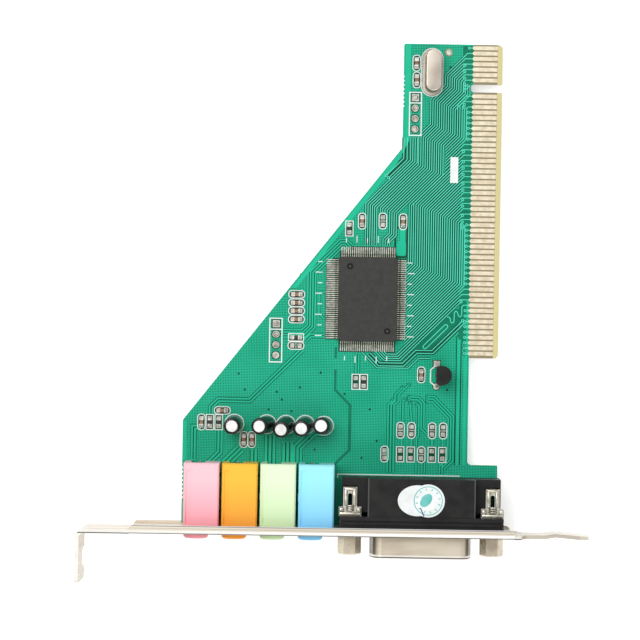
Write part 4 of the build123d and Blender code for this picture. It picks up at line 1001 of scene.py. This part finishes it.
for way in (-1, 1):
    select_points(crystal_shell, lambda at: at.y * way > 0 and abs(at.y) < CAN_WIDTH * MM)
    bpy.ops.transform.translate(value=(0, way * (CAN_LENGTH - CAN_WIDTH) / 2 * MM, 0))
bpy.ops.mesh.select_all(action="SELECT")
bpy.ops.mesh.extrude_region_move(TRANSFORM_OT_translate={"value": (0, 0, CAN_HEIGHT * MM)})
select_points(crystal_shell, lambda at: at.z > CAN_HEIGHT / 2 * MM)
bpy.ops.transform.translate(value=(CAN_TOP_SHIFT[0] * MM, CAN_TOP_SHIFT[1] * MM, 0))
bpy.ops.mesh.select_mode(type="EDGE")
bpy.ops.mesh.bevel(offset=CAN_ROUNDING * MM, segments=5, affect="EDGES")
bpy.ops.mesh.select_all(action="SELECT")
bpy.ops.mesh.normals_make_consistent(inside=False)
bpy.ops.object.mode_set(mode="OBJECT")
bpy.ops.object.shade_smooth_by_angle(angle=SMOOTH_ANGLE)
crystal_shell.matrix_world = (
    Matrix.Translation((CRYSTAL[0] * MM, CRYSTAL[1] * MM, FLANGE_LIFT * MM))
    @ Matrix.Rotation(radians(CRYSTAL_LEAN), 4, "Y")
    @ Matrix.Translation((0, 0, FLANGE_THICKNESS * MM))
)
bpy.ops.object.transform_apply(location=True, rotation=True, scale=True)
crystal_shell.data.materials.append(crystal_steel)
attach(crystal_shell, "root")
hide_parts("crystal_can")


# Electrolytic capacitors. An aluminium can in a black sleeve that was shrunk over its shoulder,
# closed below by a rubber seal. Each leans on its leads, and a broken pale line marks one side.
CAPACITOR_TOPS = ((-62.6, -80.75), (-56.2, -80.7), (-51.1, -81.4), (-46.3, -81.05), (-41.65, -80.35))
SLEEVE_RADIUS, SLEEVE_HEIGHT, SLEEVE_WALL, SLEEVE_MOUTH = 2.0, 7.0, 0.12, 1.37
SEAL_DEPTH = 1.0
END_AREA = 3e-6
SHOULDER = 0.5
STRIPE_PLACE, STRIPE_HALF, DASHES, DASH_GAP = 0.62, 0.035, 14.0, 0.35
sleeve_film = mottled(
    "sleeve_film", (0.005, 0.006, 0.006), (0.010, 0.011, 0.011), 400, (0.16, 0.26), 0.05, shine=0.4
)
tree, shader, film = inside(sleeve_film)
around = node(tree, "ShaderNodeTexCoord").outputs["UV"]
around = node(tree, "ShaderNodeSeparateXYZ", {0: around}).outputs
off_line = maths("ABSOLUTE", maths("SUBTRACT", around["X"], STRIPE_PLACE))
dashes = maths("FRACT", maths("MULTIPLY", around["Y"], DASHES))
printed = over(past(dashes, DASH_GAP, 0.03), film, (0.45, 0.46, 0.44))
tree.links.new(over(past(off_line, STRIPE_HALF, 0.004), printed, film), shader.inputs["Base Color"])
can_aluminium = mottled(
    "can_aluminium", (0.84, 0.85, 0.84), (0.95, 0.96, 0.95), 900, (0.3, 0.45), 0.1, metal=0.3
)
rubber = mottled("seal_rubber", (0.03, 0.03, 0.03), (0.05, 0.05, 0.05), 500, (0.7, 0.85), 0.2)
finish_node("capacitor_leads", tinned)
finish_node("capacitor_seals", rubber)


def turned_can(name, radius, low, high, rounding):
    """An upright cylinder with a rounded top edge, standing at the origin."""
    bpy.ops.object.select_all(action="DESELECT")
    bpy.ops.mesh.primitive_cylinder_add(
        vertices=48, radius=radius * MM, depth=(high - low) * MM, location=(0, 0, (low + high) / 2 * MM)
    )
    made = bpy.context.object
    made.name = name
    bpy.ops.object.transform_apply(location=True, rotation=True, scale=True)
    bpy.ops.object.mode_set(mode="EDIT")
    select_points(made, lambda at: at.z > (high - 0.01) * MM)
    bpy.ops.mesh.select_mode(type="EDGE")
    bpy.ops.mesh.bevel(offset=rounding * MM, segments=5, affect="EDGES")
    return made


def sink_face(made, level, inset, depth):
    """Insets the level end face of an upright form and pushes the middle in or out along Z."""
    bpy.ops.mesh.select_mode(type="FACE")
    bpy.ops.mesh.select_all(action="DESELECT")
    bpy.ops.object.mode_set(mode="OBJECT")
    for side in made.data.polygons:
        flat = abs(side.normal.z) > 0.99 and side.area > END_AREA
        side.select = flat and abs(side.center.z - level * MM) < 0.01 * MM
    bpy.ops.object.mode_set(mode="EDIT")
    bpy.ops.mesh.inset(thickness=inset * MM)
    bpy.ops.mesh.extrude_region_move(TRANSFORM_OT_translate={"value": (0, 0, depth * MM)})


sleeve_pattern = turned_can("sleeve_pattern", SLEEVE_RADIUS, 0, SLEEVE_HEIGHT, SHOULDER)
sink_face(sleeve_pattern, SLEEVE_HEIGHT, SLEEVE_RADIUS - SHOULDER - SLEEVE_MOUTH, -SLEEVE_WALL - 0.12)
sink_face(sleeve_pattern, 0, SLEEVE_WALL, SEAL_DEPTH)
bpy.ops.object.mode_set(mode="OBJECT")
bpy.ops.object.shade_smooth_by_angle(angle=radians(40))
can_top = SLEEVE_HEIGHT - SLEEVE_WALL
can_pattern = turned_can("can_pattern", SLEEVE_RADIUS - SLEEVE_WALL - 0.01, SEAL_DEPTH, can_top, SHOULDER)
sink_face(can_pattern, can_top, 0.16, -0.035)
bpy.ops.object.mode_set(mode="OBJECT")
bpy.ops.object.shade_smooth_by_angle(angle=radians(40))
for number, (foot, top) in enumerate(zip(CAPACITOR_FEET, CAPACITOR_TOPS), start=1):
    run = hypot(top[0] - foot[0], top[1] - foot[1])
    turn = atan2(top[1] - foot[1], top[0] - foot[0])
    lean = run / SLEEVE_HEIGHT
    axis = Vector((lean * cos(turn), lean * sin(turn), (1 - lean ** 2) ** 0.5))
    stand = Matrix.Translation((foot[0] * MM, foot[1] * MM, SLEEVE_RADIUS * lean * MM))
    for pattern, part, material, slot in (
        (sleeve_pattern, "sleeve", sleeve_film, "sleeve_black"),
        (can_pattern, "can", can_aluminium, "can_aluminium"),
    ):
        made = copied(pattern, "capacitor_%d_smooth_%s" % (number, part))
        made.matrix_world = stand @ axis.to_track_quat("Z", "Y").to_matrix().to_4x4()
        select_only(made)
        bpy.ops.object.transform_apply(location=True, rotation=True, scale=True)
        made.data.materials.append(material)
        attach(made, "root")
        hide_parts("capacitor_%d_%s" % (number, part))
        finish_node("capacitor_%d_%s" % (number, part), material)
bpy.data.objects.remove(sleeve_pattern, do_unlink=True)
bpy.data.objects.remove(can_pattern, do_unlink=True)


# Transistor. A half-round body moulded in the same black plastic as the port's socket block, round
# three tinned legs that are spread to reach their pads.
finish_node("transistor_body", black_plastic)
finish_node("transistor_legs", tinned)


# Chip capacitors and resistors. Each is a block of fired ceramic, tan or nearly black, between two
# plated ends with solder up them. The empty holes of the headers are filled with duller solder.
tan_ceramic = mottled("tan_ceramic", (0.22, 0.12, 0.06), (0.38, 0.23, 0.13), 1500, (0.4, 0.55), 0.2)
dark_ceramic = mottled("dark_ceramic", (0.012, 0.012, 0.011), (0.035, 0.033, 0.03), 1500, (0.3, 0.45), 0.2)
end_plate = mottled("end_plate", (0.56, 0.54, 0.48), (0.84, 0.82, 0.77), 1400, (0.2, 0.36), 0.3, metal=0.5)
header_tin = mottled("header_tin", (0.34, 0.31, 0.26), (0.70, 0.68, 0.62), 1300, (0.24, 0.4), 0.3, metal=0.6)
finish_node("chip_capacitor_bodies", tan_ceramic)
finish_node("chip_resistor_bodies", dark_ceramic)
for name in ("chip_capacitor_ends", "chip_resistor_ends"):
    finish_node(name, end_plate)
for name in ("header_solder", "hole_rings"):
    finish_node(name, header_tin)

# The test point's ring is bare copper that has gone dull
TEST_POINT = (-12.85, 8.36)
RING_TOP = 0.066
test_ring = Sheet(RING_TOP)
test_ring.line(round_points(*TEST_POINT, 0.83, 32), 0.3, closed=True)
dull_copper = mottled("dull_copper", (0.16, 0.20, 0.09), (0.26, 0.30, 0.15), 700, (0.4, 0.55), 0.1, metal=0.2)
test_ring.piece("test_point_ring", dull_copper, 0.016)


# Labels on the game port. Two slips of white paper, the round one stuck over the oval one. The
# round one has a printed ring with twelve ticks and a small oval, and a stroke of a pen.
paper = mottled("label_paper", (0.78, 0.82, 0.81), (0.92, 0.94, 0.94), 300, (0.5, 0.6), 0.1)
finish_node("oval_sticker", paper)
finish_node("round_sticker", paper)
LABEL = (-16.4, -97.2)
label_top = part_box("round_sticker")[1][2] / MM
OVAL_LONG, OVAL_SHORT, OVAL_TURN, OVAL_SHIFT = 1.75, 1.15, 0.9, (-0.5, 0.1)
ring_print = Sheet(label_top + 0.02)
ring_print.line(round_points(*LABEL, 3.3, 48), 0.2, closed=True)
for hour in range(12):
    angle = 2 * pi * hour / 12 + 0.2
    ring_print.line([(LABEL[0] + r * cos(angle), LABEL[1] + r * sin(angle)) for r in (2.45, 2.95)], 0.22)
oval = []
for x, y in round_points(0, 0, 1, 32):
    across = OVAL_LONG * x * cos(OVAL_TURN) - OVAL_SHORT * y * sin(OVAL_TURN)
    upward = OVAL_LONG * x * sin(OVAL_TURN) + OVAL_SHORT * y * cos(OVAL_TURN)
    oval.append((LABEL[0] + OVAL_SHIFT[0] + across, LABEL[1] + OVAL_SHIFT[1] + upward))
ring_print.shape(oval)
teal_ink = mottled("teal_ink", (0.10, 0.50, 0.46), (0.18, 0.60, 0.56), 500, (0.5, 0.6), 0.1)
ring_print.piece("label_print", teal_ink, 0.018)
pen_stroke = Sheet(label_top + 0.036)
pen_stroke.line([(-18.2, -98.9), (-17.35, -100.8)], 0.24)
pen_ink = mottled("pen_ink", (0.015, 0.02, 0.14), (0.03, 0.04, 0.22), 500, (0.5, 0.6), 0.1)
pen_stroke.piece("pen_stroke", pen_ink, 0.014)


# Underside. Every lead and tail comes through the board into a ring of copper, and hand or wave
# soldering left a shiny cone around it. Vias show as rings, and a few tracks run between them.
BRACKET_INNER_Y = -104.99
FIRST_JACK_X, JACK_PITCH = -69.35, 8.95
JACK_TAILS = ((2.3, 4.0), (3.4, 12.6), (-3.6, 8.0), (-1.3, 1.6), (-1.0, 15.2))
PIN_PITCH = 2.77
CRYSTAL_LEG = 2.44
TRANSISTOR = (-14.48, -68.1)
TRANSISTOR_LEG = 2.7
JOINT_HEIGHT = 0.8
RING_WIDTH, RING_GAP = 0.14, 0.42
joint_places = [
    (FIRST_JACK_X + JACK_PITCH * i + x, BRACKET_INNER_Y + y, 0.8) for i in range(4) for x, y in JACK_TAILS
]
joint_places += [(PORT_X + (i - 3.5) * PIN_PITCH, -97.74, 0.75) for i in range(8)]
joint_places += [(PORT_X + (i - 3) * PIN_PITCH, -95.2, 0.75) for i in range(7)]
joint_places += [(PORT_X + way * POST_OFFSET, -94.8, 1.6) for way in (-1, 1)]
joint_places += [(x + way * CAPACITOR_LEG, y, 0.6) for x, y in CAPACITOR_FEET for way in (-1, 1)]
joint_places += [(CRYSTAL[0], CRYSTAL[1] + way * CRYSTAL_LEG, 0.7) for way in (-1, 1)]
joint_places += [(TRANSISTOR[0], TRANSISTOR[1] + way * TRANSISTOR_LEG, 0.7) for way in (-1, 0, 1)]
for (x, y), count in zip(HEADERS, (4, 3)):
    joint_places += [(x, y - HEADER_PITCH * i, 0.8) for i in range(count)]
bpy.ops.object.select_all(action="DESELECT")
bpy.ops.mesh.primitive_cone_add(
    vertices=14, radius1=1.0 * MM, radius2=0.3 * MM, depth=1.0 * MM, location=(0, 0, 0)
)
joint = bpy.context.object
bpy.ops.object.mode_set(mode="EDIT")
bpy.ops.mesh.select_all(action="SELECT")
bpy.ops.transform.translate(value=(0, 0, 0.5 * MM))
select_points(joint, lambda at: at.z > 0.5 * MM)
bpy.ops.mesh.select_mode(type="EDGE")
bpy.ops.mesh.bevel(offset=0.12 * MM, segments=2, affect="EDGES")
bpy.ops.object.mode_set(mode="OBJECT")
joints = []
for x, y, size in joint_places:
    made = copied(joint, "joint")
    cone = Matrix.Diagonal((size, size, -JOINT_HEIGHT * min(size, 1), 1))
    made.matrix_world = Matrix.Translation((x * MM, y * MM, BOARD_BOTTOM * MM)) @ cone
    select_only(made)
    bpy.ops.object.transform_apply(location=True, rotation=True, scale=True)
    joints.append(made)
bpy.data.objects.remove(joint, do_unlink=True)
solder_joints = joined(joints)
solder_joints.name = "solder_joints"
bpy.ops.object.mode_set(mode="EDIT")
bpy.ops.mesh.select_all(action="SELECT")
bpy.ops.mesh.normals_make_consistent(inside=False)
bpy.ops.object.mode_set(mode="OBJECT")
bpy.ops.object.shade_smooth_by_angle(angle=SMOOTH_ANGLE)
joint_tin = mottled("joint_tin", (0.52, 0.51, 0.48), (0.80, 0.79, 0.76), 900, (0.16, 0.3), 0.15, metal=0.75)
solder_joints.data.materials.clear()
solder_joints.data.materials.append(joint_tin)
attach(solder_joints, "root")

under_gaps = Sheet(GAP_TOP, -1)
under_copper = Sheet(TRACK_TOP, -1)
under_rings = Sheet(TRACK_TOP + 0.012, -1)
for x, y, size in joint_places:
    under_gaps.shape(round_points(x, y, size + RING_GAP, 16))
    under_rings.shape(round_points(x, y, size + RING_WIDTH, 16))
for x, y in via_places:
    under_copper.shape(round_points(x, y, VIA_PAD, 10))
    under_gaps.shape(round_points(x, y, VIA_PAD + VIA_GAP, 10))


def under_tracks(points, count, pitch, width):
    """A bundle of tracks on the solder side, with the etched gaps beside them."""
    for number in range(count):
        line = shifted(points, number * pitch)
        under_gaps.line(line, pitch)
        under_copper.line(line, width)


for count, points in (
    (3, [(-68.0, -88.6), (-68.0, -83.0), (-62.9, -77.9), (-62.9, -72.0), (-45.0, -54.1), (-45.0, -44.5)]),
    (2, [(-59.0, -88.6), (-59.0, -85.4), (-55.3, -81.7)]),
    (2, [(-50.0, -88.6), (-50.0, -82.2)]),
    (2, [(-41.2, -88.6), (-41.2, -82.0)]),
    (4, [(-27.4, -94.2), (-27.4, -80.0), (-36.5, -70.9), (-36.5, -64.0)]),
    (4, [(-19.0, -94.2), (-19.0, -78.0), (-11.5, -70.5), (-11.5, -64.0)]),
):
    under_tracks(points, count, 0.9, 0.4)
for y in contact_rows[2::3]:
    under_tracks([(-7.2, y), (-10.5, y), (-14.0, y - 3.5)], 1, 0.7, 0.3)
under_gaps.piece("under_gaps", etched, GAP_TOP - 0.002, BOARD_BOTTOM)
under_copper.piece("under_tracks", lacquered_pour, 0.024, BOARD_BOTTOM)
under_rings.piece("under_rings", tin, 0.03, BOARD_BOTTOM)
